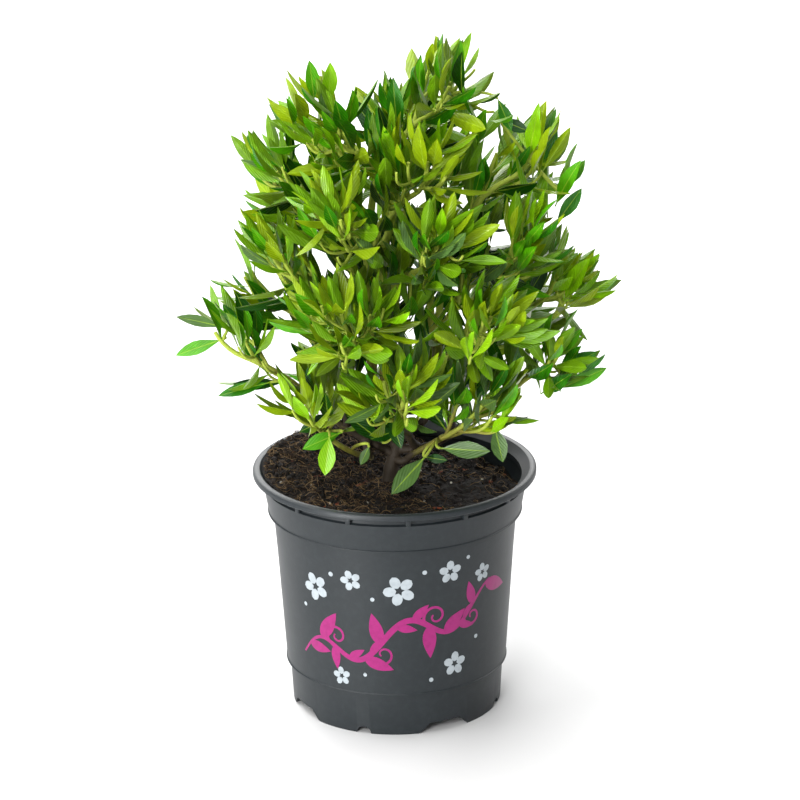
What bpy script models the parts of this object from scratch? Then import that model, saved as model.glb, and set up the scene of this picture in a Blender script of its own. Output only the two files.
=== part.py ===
"""Potted dwarf rhododendron: a plastic pot, its soil, a short trunk, boughs and masses of foliage.

The origin is on the pot's axis at the plane that it stands on. +Z is up and the plant's front faces -Y.
"""
import math
import random

import bmesh
import bpy
from mathutils import Matrix, Vector
from mathutils.bvhtree import BVHTree

MM = 0.001
GAP = 0.3 * MM
SEED = 17

# Pot, radii and heights of its outer wall

POT_SEGMENTS = 32
POT_HEIGHT = 148.6 * MM
RIM_RADIUS = 85.0 * MM
RIM_MOUTH_RADIUS = 80.4 * MM
RIM_THICKNESS = 3.8 * MM
RIM_ROUNDING = 0.9 * MM
NECK_RADIUS = 77.5 * MM
NECK_BOTTOM = 140.2 * MM
COLLAR_TOP_RADIUS = 79.0 * MM
COLLAR_TOP = 139.4 * MM
COLLAR_BOTTOM_RADIUS = 76.0 * MM
COLLAR_BOTTOM = 122.2 * MM
BODY_TOP_RADIUS = 73.1 * MM
BODY_WAIST_RADIUS = 71.0 * MM
BODY_WAIST = 95.0 * MM
BODY_BOTTOM_RADIUS = 66.5 * MM
BODY_BOTTOM = 27.2 * MM
BASE_TOP_RADIUS = 64.5 * MM
BASE_BOTTOM_RADIUS = 63.1 * MM
EDGE_STEP = 0.9 * MM
WALL = 1.3 * MM

# Pot, floor with a raised drainage ring behind a notched foot

FLOOR_THICKNESS = 1.6 * MM
PAD_RADIUS = 46.5 * MM
CHANNEL_ROOF = 6.9 * MM
NOTCH_COUNT = 4
NOTCH_FIRST_ANGLE = math.radians(-63.0)
NOTCH_ROOF = 6.3 * MM
NOTCH_SPAN_BOTTOM = math.radians(31.3)
NOTCH_SPAN_TOP = math.radians(17.8)
ARCH_FIRST_ANGLE = math.radians(-108.5)
ARCH_RADIUS = 4.4 * MM
DRAIN_RADIUS = 3.5 * MM
DRAIN_FIRST_ANGLE = math.radians(-18.0)

# Soil

SOIL_SEGMENTS = 18
SOIL_LEVEL = 140.0 * MM
SOIL_FLAT_RADIUS = 13.0 * MM
SOIL_RINGS = 5
SOIL_RADIUS = 75.5 * MM
SOIL_HEAP = 9.0 * MM
SOIL_HEAP_ANGLE = math.radians(140.0)
SOIL_DIP = 9.0 * MM
SOIL_DIP_ANGLE = math.radians(20.0)
SOIL_FRONT_RISE = 3.0 * MM
SOIL_LUMP = 1.2 * MM

# Trunk and boughs

TRUNK_FOOT = Vector((-2.0, 0.0, 140.3)) * MM
TRUNK_TIP = Vector((5.0, 2.0, 173.0)) * MM
TRUNK_FOOT_RADIUS = 6.8 * MM
TRUNK_TIP_RADIUS = 3.1 * MM
TRUNK_POINTS = 8
FLARE_HEIGHT = 9.0 * MM
FLARE_LOBES = 3
FLARE_DEPTH = 0.22
TRUNK_SIDES = 10
BOUGH_SIDES = 5
TEST_SIDES = 6
BOUGH_ROOT_RADIUS = 2.5 * MM
BOUGH_TIP_RADIUS = 1.9 * MM
BOUGH_POINTS = 6
BOUGH_WANDER = 1.6 * MM
BOUGH_ROOT_PULL = 0.34
BOUGH_TIP_PULL = 0.36
BOUGH_SHIFTS = (0.03, 0.15)
BOUGH_TURN = 1.2
BOUGH_CLIMB = 0.5
BOUGH_DRIFT = 16.0 * MM
BOUGH_TRIES = 200

# Foliage

CROWN_TOP = 412.0 * MM
TOP_LEAN = math.radians(6.0)
FOOT_LEAN = math.radians(62.0)
FULL_LEAN_RADIUS = 75.0 * MM
INWARD_STRETCH = 2.6
DOWNWARD_STRETCH = 1.4
INWARD_FALL = 0.8
INWARD_STEPS = (1.7, 1.5, 1.3, 1.1, 0.9, 0.7, 0.5)
FOOT_MARGIN = 4.0 * MM
STEM_POINTS = 5
STEM_PULL = 0.35
LEADER_SHARE = 0.22
TWIG_SIDES = 3
TWIG_ROOT_RADIUS = 1.3 * MM
TWIG_TIP_RADIUS = 1.2 * MM
TWIG_LENGTH = 24.0 * MM
TWIG_SPREAD = (math.radians(34), math.radians(54))
TWIG_LENGTHS = (0.75, 1.2)
TWIG_FIRST_ALONG = 0.05
TWIG_LAST_ALONG = 0.67
TWIG_SHIFT = 0.04
TWIG_TURN = 0.25
TWIG_TRIES = 10
SIDE_TWIGS = 4
LEAVES_A_SHOOT = 6
LEAF_LENGTH = 42.0 * MM
LEAF_WIDTH = 16.5 * MM
LEAF_THICKNESS = 1.0 * MM
LEAF_TIP_DROP = 1.4 * MM
LEAF_CREST = 0.6
LEAF_OUTLINE = ((1.0, 0.0), (0.70, 0.48), (0.35, 0.40), (0.0, 0.0))
LEAF_TEST_START = 3.1 * MM
LEAF_ROOT_SHIFT = 0.3 * MM
LEAF_STEP = 2.3 * MM
LEAF_TURN = math.radians(30)
RANK_TURN = math.radians(16)
LEAF_ANGLE_SHIFT = 0.14
LEAF_TURN_SHIFT = 0.2
LEAF_LENGTHS = (0.9, 1.06)
YOUNG_LEAF_SIZE = 0.84
LEAF_SHRINK = 0.34
LEAF_TRIES = 14
YOUNG_LEAF_ANGLE = math.radians(24.0)
OLD_LEAF_ANGLE = math.radians(70.0)
SPACE_MARGIN = 0.25 * MM

# Each bough and the mass of foliage at its end, sizes in millimetres:
# name, middle of the mass, its reach, the limb that carries the bough, how far along that limb

BRANCHES = (
    ("top", (34, 2, 376), 39, "trunk", 1.0),
    ("right_peak", (80, 4, 336), 38, "trunk", 0.80),
    ("left_shoulder", (-64, 8, 332), 38, "trunk", 0.72),
    ("back_middle", (2, 76, 272), 42, "trunk", 0.64),
    ("front_left_high", (-27, -50, 318), 36, "top", 0.10),
    ("right_low_arm", (92, -20, 220), 37, "trunk", 0.50),
    ("left_low", (-101, -8, 230), 34, "trunk", 0.44),
    ("front_low", (6, -72, 218), 36, "right_low_arm", 0.16),
    ("right_foot", (52, -40, 200), 38, "trunk", 0.28),
    ("left_foot", (-52, -40, 196), 36, "left_low", 0.22),
    ("front_right_high", (26, -54, 302), 36, "top", 0.20),
    ("back_left_low", (-58, 64, 224), 44, "back_middle", 0.20),
    ("back_right_low", (58, 66, 222), 44, "back_middle", 0.28),
    ("upper_left", (-34, -12, 358), 40, "top", 0.42),
    ("upper_middle", (20, -30, 338), 38, "top", 0.62),
    ("back_top", (4, 36, 346), 40, "top", 0.56),
    ("back_left_high", (-50, 54, 298), 42, "left_shoulder", 0.44),
    ("left_middle", (-68, -26, 286), 36, "left_shoulder", 0.54),
    ("left_low_outer", (-80, 18, 258), 38, "left_low", 0.40),
    ("front_left", (-28, -72, 262), 36, "front_left_high", 0.42),
    ("front_right", (54, -62, 256), 36, "front_right_high", 0.36),
    ("right_middle", (80, -16, 292), 38, "right_peak", 0.52),
    ("back_right_high", (54, 52, 300), 42, "right_peak", 0.40),
    ("right_low_outer", (96, 14, 256), 38, "right_low_arm", 0.42),
)

POT_GREY = "#3f4548"
SOIL_BROWN = "#2c211a"
BARK_BROWN = "#5f4a31"
BOUGH_GREEN = "#7d8a3c"
LEAF_GREENS = ("#5d9420", "#6fa626", "#4b8420", "#7bab2b", "#568c2c")


def linear(channel):
    """Turn one sRGB channel, 0 to 1, into the linear value that a shader socket holds."""
    if channel <= 0.04045:
        return channel / 12.92
    return ((channel + 0.055) / 1.055) ** 2.4


def make_material(name, colour, roughness):
    """A Principled material of one sRGB hex colour."""
    channels = [linear(int(colour[i:i + 2], 16) / 255) for i in (1, 3, 5)]
    material = bpy.data.materials.new(name)
    material.use_nodes = True
    shader = material.node_tree.nodes["Principled BSDF"]
    shader.inputs["Base Color"].default_value = (*channels, 1.0)
    shader.inputs["Roughness"].default_value = roughness
    shader.inputs["Metallic"].default_value = 0.0
    return material


def add_object(name, mesh, collection):
    """Put a mesh into the scene as an object of its own."""
    thing = bpy.data.objects.new(name, mesh)
    collection.objects.link(thing)
    return thing


def evaluated_mesh(thing):
    """The mesh of an object with its modifiers, or of a curve."""
    bpy.context.view_layer.update()
    depsgraph = bpy.context.evaluated_depsgraph_get()
    return bpy.data.meshes.new_from_object(thing.evaluated_get(depsgraph))


def remove_object(thing):
    """Take an object that was only a step on the way out of the file."""
    bpy.data.objects.remove(thing, do_unlink=True)


def turned_mesh(name, profile, segments):
    """Turn a profile of (radius, height) points about Z. It runs down the outer side of the shape."""
    mesh = bpy.data.meshes.new(name)
    edges = [(i, i + 1) for i in range(len(profile) - 1)]
    mesh.from_pydata([(radius, 0.0, height) for radius, height in profile], edges, [])
    guide = add_object(name, mesh, bpy.context.scene.collection)
    screw = guide.modifiers.new("turn", "SCREW")
    screw.steps = segments
    screw.render_steps = segments
    screw.use_merge_vertices = True
    screw.merge_threshold = 0.00005
    turned = evaluated_mesh(guide)
    remove_object(guide)
    return turned


def ring_curve(sides):
    """A flat ring of straight sides and radius 1, which gives a tube its section."""
    data = bpy.data.curves.new("section", "CURVE")
    data.dimensions = "2D"
    data.fill_mode = "NONE"
    spline = data.splines.new("POLY")
    spline.points.add(sides - 1)
    spline.use_cyclic_u = True
    for i, point in enumerate(spline.points):
        angle = math.tau * i / sides
        point.co = (math.cos(angle), math.sin(angle), 0.0, 1.0)
    return add_object("section", data, bpy.context.scene.collection)


def tube_mesh(points, radii, sides):
    """A closed tapering tube through the points, with a radius at each of them."""
    section = ring_curve(sides)
    data = bpy.data.curves.new("tube", "CURVE")
    data.dimensions = "3D"
    data.bevel_mode = "OBJECT"
    data.bevel_object = section
    data.use_fill_caps = True
    spline = data.splines.new("POLY")
    spline.points.add(len(points) - 1)
    for target, point, radius in zip(spline.points, points, radii):
        target.co = (*point, 1.0)
        target.radius = radius
    guide = add_object("tube", data, bpy.context.scene.collection)
    mesh = evaluated_mesh(guide)
    remove_object(guide)
    remove_object(section)
    shape = bmesh.new()
    shape.from_mesh(mesh)
    bmesh.ops.remove_doubles(shape, verts=shape.verts, dist=0.00001)
    bmesh.ops.recalc_face_normals(shape, faces=shape.faces)
    shape.to_mesh(mesh)
    shape.free()
    return mesh


def side_ways(mesh, point, axis, count):
    """The ways in which the side faces of a tube look near a point, in turn about its axis."""
    sides = [face for face in mesh.polygons if abs(face.normal.dot(axis)) < 0.5]
    sides.sort(key=lambda face: round((face.center - point).length, 6))
    first = axis.orthogonal().normalized()
    second = axis.cross(first)
    ways = [(face.normal - axis * face.normal.dot(axis)).normalized() for face in sides[:count]]
    return sorted(ways, key=lambda way: math.atan2(way.dot(second), way.dot(first)))


def boolean(thing, operation, cutters):
    """Cut or join an object with every object of a collection, and keep the result as its mesh."""
    modifier = thing.modifiers.new(operation.lower(), "BOOLEAN")
    modifier.operation = operation
    modifier.operand_type = "COLLECTION"
    modifier.collection = cutters
    modifier.solver = "EXACT"
    result = evaluated_mesh(thing)
    thing.modifiers.clear()
    thing.data = result


def shade(thing, angle):
    """Shade a round piece smooth, with its edges sharper than the angle kept."""
    thing.data.shade_smooth()
    thing.data.set_sharp_from_angle(angle=angle)


# Pot and soil

def wall_points(inset):
    """The pot's wall from under its rim to its foot, as (radius, height), moved in by inset."""
    return [
        (NECK_RADIUS - inset, NECK_BOTTOM),
        (COLLAR_TOP_RADIUS - inset, COLLAR_TOP - inset * 0.4),
        (COLLAR_BOTTOM_RADIUS - inset, COLLAR_BOTTOM + inset * 0.4),
        (BODY_TOP_RADIUS - inset, COLLAR_BOTTOM - EDGE_STEP + inset * 0.4),
        (BODY_WAIST_RADIUS - inset, BODY_WAIST),
        (BODY_BOTTOM_RADIUS - inset, BODY_BOTTOM + inset * 0.4),
        (BASE_TOP_RADIUS - inset, BODY_BOTTOM - EDGE_STEP + inset * 0.4),
    ]


def pot_profile():
    """The pot's section: up its inside from the middle of the floor, over the rim and down its outside."""
    channel_top = CHANNEL_ROOF + FLOOR_THICKNESS
    neck_top = POT_HEIGHT - RIM_THICKNESS
    inside = [
        (0.0, FLOOR_THICKNESS),
        (PAD_RADIUS - EDGE_STEP, FLOOR_THICKNESS),
        (PAD_RADIUS + EDGE_STEP * 0.5, channel_top),
        (BASE_BOTTOM_RADIUS - WALL, channel_top),
    ]
    inside += reversed(wall_points(WALL))
    inside += [
        (NECK_RADIUS - WALL, neck_top - EDGE_STEP),
        (RIM_MOUTH_RADIUS, POT_HEIGHT - RIM_ROUNDING),
    ]
    rim = [
        (RIM_MOUTH_RADIUS + 2 * RIM_ROUNDING, POT_HEIGHT),
        (RIM_RADIUS - RIM_ROUNDING, POT_HEIGHT - RIM_ROUNDING * 0.5),
        (RIM_RADIUS, POT_HEIGHT - 2 * RIM_ROUNDING),
        (RIM_RADIUS - RIM_ROUNDING * 0.5, neck_top),
        (NECK_RADIUS, neck_top),
    ]
    foot = [
        (BASE_BOTTOM_RADIUS, EDGE_STEP),
        (BASE_BOTTOM_RADIUS - EDGE_STEP * 0.5, 0.0),
        (BASE_BOTTOM_RADIUS - EDGE_STEP - WALL, 0.0),
        (BASE_BOTTOM_RADIUS - EDGE_STEP - WALL, CHANNEL_ROOF),
        (PAD_RADIUS + EDGE_STEP, CHANNEL_ROOF),
        (PAD_RADIUS, 0.0),
        (0.0, 0.0),
    ]
    return inside + rim + wall_points(0.0) + foot


def notch_cutter(name, angle, cutters):
    """A wedge that opens the foot ring, wide at the ground and narrower at its roof."""
    shape = bmesh.new()
    bmesh.ops.create_cube(shape, size=1.0)
    for vert in shape.verts:
        at_top = vert.co.z > 0
        span = NOTCH_SPAN_TOP if at_top else NOTCH_SPAN_BOTTOM
        side = 1 if vert.co.y > 0 else -1
        reach = 1.12 if vert.co.x > 0 else 0.86
        vert.co.x = BASE_BOTTOM_RADIUS * reach
        vert.co.y = BASE_BOTTOM_RADIUS * math.sin(span / 2) * side
        vert.co.z = NOTCH_ROOF if at_top else -NOTCH_ROOF * 0.1
    return place_cutter(name, shape, angle, cutters)


def arch_cutter(name, angle, cutters):
    """A round-topped cutter for the small openings between the wide notches."""
    shape = bmesh.new()
    turn = Matrix.Rotation(math.radians(90), 4, "Y")
    middle = Matrix.Translation((BASE_BOTTOM_RADIUS, 0.0, 0.0))
    bmesh.ops.create_cone(shape, cap_ends=True, segments=12, radius1=ARCH_RADIUS, radius2=ARCH_RADIUS,
                          depth=BASE_BOTTOM_RADIUS * 0.25, matrix=middle @ turn)
    return place_cutter(name, shape, angle, cutters)


def drain_cutter(name, angle, cutters):
    """A round cutter for a drain hole through the roof of the channel."""
    shape = bmesh.new()
    middle = Matrix.Translation(((PAD_RADIUS + BASE_BOTTOM_RADIUS) / 2, 0.0, CHANNEL_ROOF))
    bmesh.ops.create_cone(shape, cap_ends=True, segments=8, radius1=DRAIN_RADIUS, radius2=DRAIN_RADIUS,
                          depth=FLOOR_THICKNESS * 4, matrix=middle)
    return place_cutter(name, shape, angle, cutters)


def place_cutter(name, shape, angle, cutters):
    """Turn a cutter about the pot's axis and keep it as a wire object."""
    bmesh.ops.transform(shape, matrix=Matrix.Rotation(angle, 4, "Z"), verts=shape.verts)
    mesh = bpy.data.meshes.new(name)
    shape.to_mesh(mesh)
    shape.free()
    cutter = add_object(name, mesh, cutters)
    cutter.hide_render = True
    cutter.display_type = "WIRE"
    return cutter


def make_pot(collection, cutters):
    """The turned pot, with the notches, arches and drain holes of its base cut out."""
    pot = add_object("pot", turned_mesh("pot", pot_profile(), POT_SEGMENTS), collection)
    quarter = math.tau / NOTCH_COUNT
    for i in range(NOTCH_COUNT):
        notch_cutter(f"notch_cutter_{i + 1}", NOTCH_FIRST_ANGLE + i * quarter, cutters)
        arch_cutter(f"arch_cutter_{i + 1}", ARCH_FIRST_ANGLE + i * quarter, cutters)
        drain_cutter(f"drain_cutter_{i + 1}", DRAIN_FIRST_ANGLE + i * quarter, cutters)
    boolean(pot, "DIFFERENCE", cutters)
    shade(pot, math.radians(30))
    return pot


def soil_height(x, y):
    """Height of the soil: flat round the trunk, heaped at the back left and sunk at the right."""
    radius = math.hypot(x, y)
    angle = math.atan2(y, x)
    edge = max(0.0, (radius - SOIL_FLAT_RADIUS) / (SOIL_RADIUS - SOIL_FLAT_RADIUS))
    heap = SOIL_HEAP * max(0.0, math.cos(angle - SOIL_HEAP_ANGLE)) ** 2
    dip = SOIL_DIP * max(0.0, math.cos(angle - SOIL_DIP_ANGLE))
    front = SOIL_FRONT_RISE * max(0.0, -math.sin(angle))
    lumps = SOIL_LUMP * math.sin(5 * angle + radius / (9 * MM)) * math.sin(radius / (11 * MM))
    return SOIL_LEVEL + edge * (heap - dip + front) + min(edge * 3, 1.0) * lumps


def make_soil(collection):
    """The soil that fills the pot: a turned solid with an uneven top."""
    channel_top = CHANNEL_ROOF + FLOOR_THICKNESS + GAP
    step = (SOIL_RADIUS - SOIL_FLAT_RADIUS) / (SOIL_RINGS - 1)
    top = [(0.0, SOIL_LEVEL)]
    top += [(SOIL_FLAT_RADIUS + i * step, SOIL_LEVEL) for i in range(SOIL_RINGS)]
    side = [point for point in wall_points(WALL + 2 * GAP) if point[1] < SOIL_LEVEL - SOIL_DIP - SOIL_LUMP]
    bottom = [
        (BASE_BOTTOM_RADIUS - WALL - 2 * GAP, channel_top),
        (PAD_RADIUS - 2 * GAP, channel_top),
        (PAD_RADIUS - EDGE_STEP - 2 * GAP, FLOOR_THICKNESS + GAP),
        (0.0, FLOOR_THICKNESS + GAP),
    ]
    mesh = turned_mesh("soil", top + side + bottom, SOIL_SEGMENTS)
    for vert in mesh.vertices:
        if vert.co.z > SOIL_LEVEL - 0.1 * MM:
            vert.co.z = soil_height(vert.co.x, vert.co.y)
    soil = add_object("soil", mesh, collection)
    shade(soil, math.radians(50))
    return soil


# Trunk and boughs

class Limb:
    """The trunk or a bough: the line of its middle, and its radius at each point of the line."""

    def __init__(self, points, radii):
        self.points = points
        self.radii = radii

    def at(self, along):
        """The point and the direction at a fraction of the limb's points."""
        place = min(along, 1.0) * (len(self.points) - 1)
        first = min(int(place), len(self.points) - 2)
        direction = self.points[first + 1] - self.points[first]
        return self.points[first] + direction * (place - first), direction.normalized()

    def tree(self, extra):
        """The limb's surface, moved out by extra, as a tree that other shapes are tested against."""
        return mesh_tree(tube_mesh(self.points, [radius + extra for radius in self.radii], TEST_SIDES))


class Branch:
    """A bough and its mass of foliage, with the middle and reach of the mass in metres."""

    def __init__(self, name, middle, reach, carrier, along):
        self.name = name
        self.middle = Vector(middle) * MM
        self.reach = reach * MM
        self.carrier = carrier
        self.along = along

        outward = Vector((self.middle.x, self.middle.y, 0.0))
        level = (self.middle.z - TRUNK_TIP.z) / (CROWN_TOP - TRUNK_TIP.z)
        lean = TOP_LEAN + (FOOT_LEAN - TOP_LEAN) * (1 - level) * min(1.0, outward.length / FULL_LEAN_RADIUS)
        self.outward = outward.normalized()
        self.rise = self.outward * math.sin(lean) + Vector((0.0, 0.0, math.cos(lean)))

    def holds(self, point):
        """Whether a point lies in the mass's own rounded shape, which is drawn out towards the trunk."""
        offset = point - self.middle
        inward = min(0.0, offset.dot(self.outward))
        offset -= self.outward * inward * (1 - 1 / INWARD_STRETCH)
        if offset.z < 0:
            offset.z /= DOWNWARD_STRETCH
        return offset.length < self.reach

    def owns(self, point, branches, margin):
        """Whether a point is in the branch's space: nearer to its middle than to any other's."""
        own = (point - self.middle).length_squared - self.reach ** 2
        for other in branches:
            if other is not self:
                theirs = (point - other.middle).length_squared - other.reach ** 2
                if theirs - own < 2 * (other.middle - self.middle).length * margin:
                    return False
        return True

    def foot(self, branches):
        """Where the bough ends and the mass begins: as far in towards the trunk as its space goes."""
        inward = (self.outward + Vector((0.0, 0.0, INWARD_FALL))).normalized()
        for share in INWARD_STEPS:
            point = self.middle - inward * self.reach * share
            if self.owns(point, branches, FOOT_MARGIN):
                break
        return point


def mesh_tree(mesh):
    """A search tree over a mesh's faces, the mesh being no longer needed."""
    corners = [vert.co.copy() for vert in mesh.vertices]
    tree = BVHTree.FromPolygons(corners, [list(face.vertices) for face in mesh.polygons])
    bpy.data.meshes.remove(mesh)
    return tree


def smooth_route(start, start_pull, end, end_pull, count):
    """Points along one smooth bend from start to end, as a cubic through both pulls."""
    route = []
    for i in range(count):
        t = i / (count - 1)
        route.append(start * (1 - t) ** 3 + (start + start_pull) * 3 * t * (1 - t) ** 2
                     + (end - end_pull) * 3 * t * t * (1 - t) + end * t ** 3)
    return route


def plan_trunk():
    """The trunk's middle line, upright at the ground and then leaning, with a flared foot."""
    up = Vector((0.0, 0.0, (TRUNK_TIP.z - TRUNK_FOOT.z) / 2))
    points = smooth_route(TRUNK_FOOT, up, TRUNK_TIP, up * 0.6, TRUNK_POINTS)
    points[1].xy = points[0].xy
    radii = []
    for point in points:
        height = point.z - TRUNK_FOOT.z
        flare = math.exp(-height / (FLARE_HEIGHT / 2.2))
        taper = 1.35 - 0.35 * height / (TRUNK_TIP.z - TRUNK_FOOT.z)
        radii.append(TRUNK_TIP_RADIUS * taper + (TRUNK_FOOT_RADIUS - TRUNK_TIP_RADIUS * 1.35) * flare)
    return Limb(points, radii)


def make_trunk(trunk, collection):
    """The trunk as a solid, with the lobes of its root flare and a flat cut at ground level."""
    mesh = tube_mesh(trunk.points, trunk.radii, TRUNK_SIDES)
    for vert in mesh.vertices:
        height = vert.co.z - TRUNK_FOOT.z
        offset = vert.co.xy - TRUNK_FOOT.xy
        lobe = math.cos(FLARE_LOBES * math.atan2(offset.y, offset.x))
        swell = FLARE_DEPTH * lobe * max(0.0, 1 - height / FLARE_HEIGHT)
        vert.co.xy = TRUNK_FOOT.xy + offset * (1 + swell)
    thing = add_object("trunk", mesh, collection)
    shade(thing, math.radians(50))
    return thing


def plan_bough(branch, foot, carrier, looseness, rng):
    """The middle line of one bough, from its carrier to the near side of its mass."""
    drift = Vector([rng.uniform(-1.0, 1.0) for _ in range(3)])
    end = foot + drift * BOUGH_DRIFT * looseness
    along = branch.along
    if branch.along < 1.0:
        shift = BOUGH_SHIFTS[0] + BOUGH_SHIFTS[1] * looseness
        along = min(0.9, max(0.12, branch.along + rng.uniform(-shift, shift)))
    start, direction = carrier.at(along)
    leader = branch.along >= 1.0
    if leader:
        start = start + direction * GAP
    span = (end - start).length
    outward = (end - start).normalized()
    sideways = outward - direction * outward.dot(direction)
    turn = Matrix.Rotation(rng.uniform(-BOUGH_TURN, BOUGH_TURN) * looseness, 3, direction)
    pull = direction if leader else (turn @ sideways.normalized() + outward * BOUGH_CLIMB).normalized()
    aim = (branch.middle - end).normalized()
    pull *= span * BOUGH_ROOT_PULL
    aim *= span * BOUGH_TIP_PULL
    points = smooth_route(start, pull, end, aim, BOUGH_POINTS)
    if leader:
        points[1] = start + direction * (points[1] - start).length
    for i in range(2, BOUGH_POINTS - 2):
        points[i] += Vector([rng.uniform(-BOUGH_WANDER, BOUGH_WANDER) for _ in range(3)])
    radii = []
    for i in range(BOUGH_POINTS):
        t = i / (BOUGH_POINTS - 1)
        radii.append(BOUGH_ROOT_RADIUS + (BOUGH_TIP_RADIUS - BOUGH_ROOT_RADIUS) * t)
    return Limb(points, radii)


def outer_part(bough, carrier):
    """A bough without its first stretch, where that lies inside its carrier."""
    if (carrier.points[-1] - bough.points[0]).length < 2 * GAP:
        return bough
    nearest = min(range(len(carrier.points)), key=lambda i: (carrier.points[i] - bough.points[0]).length)
    hidden = carrier.radii[nearest] * 0.8
    start = bough.points[0] + (bough.points[1] - bough.points[0]).normalized() * hidden
    return Limb([start] + bough.points[1:], bough.radii)


def plan_boughs(branches, trunk, rng):
    """Every bough in turn, each tried again until it is clear of the limbs that were there before it."""
    limbs = {"trunk": trunk}
    trees = {"trunk": trunk.tree(GAP)}
    for branch in branches:
        carrier = limbs[branch.carrier]
        foot = branch.foot(branches)
        for attempt in range(BOUGH_TRIES):
            bough = plan_bough(branch, foot, carrier, attempt / BOUGH_TRIES, rng)
            tree = outer_part(bough, carrier).tree(GAP * 2)
            if not any(tree.overlap(trees[name]) for name in trees if name != branch.carrier):
                break
        limbs[branch.name] = bough
        trees[branch.name] = outer_part(bough, carrier).tree(GAP)
    return limbs


def make_bough(branch, limbs, collection, cutters):
    """One bough as a solid. Where it leaves the side of its carrier, it is cut 0.3 mm clear of it."""
    limb = limbs[branch.name]
    mesh = tube_mesh(limb.points, limb.radii, BOUGH_SIDES)
    bough = add_object("bough_" + branch.name, mesh, collection)
    if branch.along < 1.0:
        carrier = limbs[branch.carrier]
        radii = [radius + GAP for radius in carrier.radii]
        sides = TRUNK_SIDES if branch.carrier == "trunk" else BOUGH_SIDES
        cutter = add_object("cutter", tube_mesh(carrier.points, radii, sides), cutters)
        boolean(bough, "DIFFERENCE", cutters)
        remove_object(cutter)
        keep_one_body(bough.data)
    shade(bough, math.radians(50))
    return bough


# Foliage

def unit_leaf():
    """A low six-sided pyramid: its base is the leaf's outline, and its top is the thickest point."""
    shape = bmesh.new()
    bmesh.ops.create_cone(shape, cap_ends=True, segments=6, radius1=1.0, radius2=0.0, depth=2.0)
    bmesh.ops.rotate(shape, verts=shape.verts, matrix=Matrix.Rotation(LEAF_TURN, 3, "Z"))
    under = max(shape.faces, key=lambda face: len(face.verts))
    shoulders = [vert for vert in under.verts if 0.4 < vert.co.x < 0.6]
    bmesh.utils.face_split(under, *shoulders)
    shape.verts.index_update()
    points = [vert.co.copy() for vert in shape.verts]
    faces = [[vert.index for vert in face.verts] for face in shape.faces]
    shape.free()
    return points, faces


def leaf_points(unit_points, length, width, thickness, start):
    """The leaf along +X: its blade is widest past the middle, and only its tip bends down."""
    points = []
    for point in unit_points:
        if point.z > 0:
            along, across, height = LEAF_CREST, 0.0, thickness
        else:
            angle = math.atan2(point.y, point.x)
            corner = round(abs(math.degrees(angle)) / 60)
            along, across = LEAF_OUTLINE[corner]
            across = math.copysign(across, angle)
            height = -LEAF_TIP_DROP if corner == 0 else 0.0
        points.append(Vector((start + (length - start) * along, width * across, height)))
    return points


def place_leaf(root, axis, outward, angle):
    """The place of a leaf: its root on the twig's axis, its length tilted away from the axis."""
    along = (axis * math.cos(angle) + outward * math.sin(angle)).normalized()
    across = axis.cross(outward).normalized()
    up = along.cross(across).normalized()
    return Matrix.Translation(root) @ Matrix((along, across, up)).transposed().to_4x4()


class Shoot:
    """The straight end of a stem or a twig that leaves grow on, and the ways in which its faces look."""

    def __init__(self, mesh, start, end):
        self.end = end
        self.axis = (end - start).normalized()
        self.ways = side_ways(mesh, (start + end) / 2, self.axis, TWIG_SIDES)

    def face(self, number, turn):
        """The way in which one face looks, turned about the shoot. The faces take turns."""
        return Matrix.Rotation(turn, 3, self.axis) @ self.ways[number % TWIG_SIDES]


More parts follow.
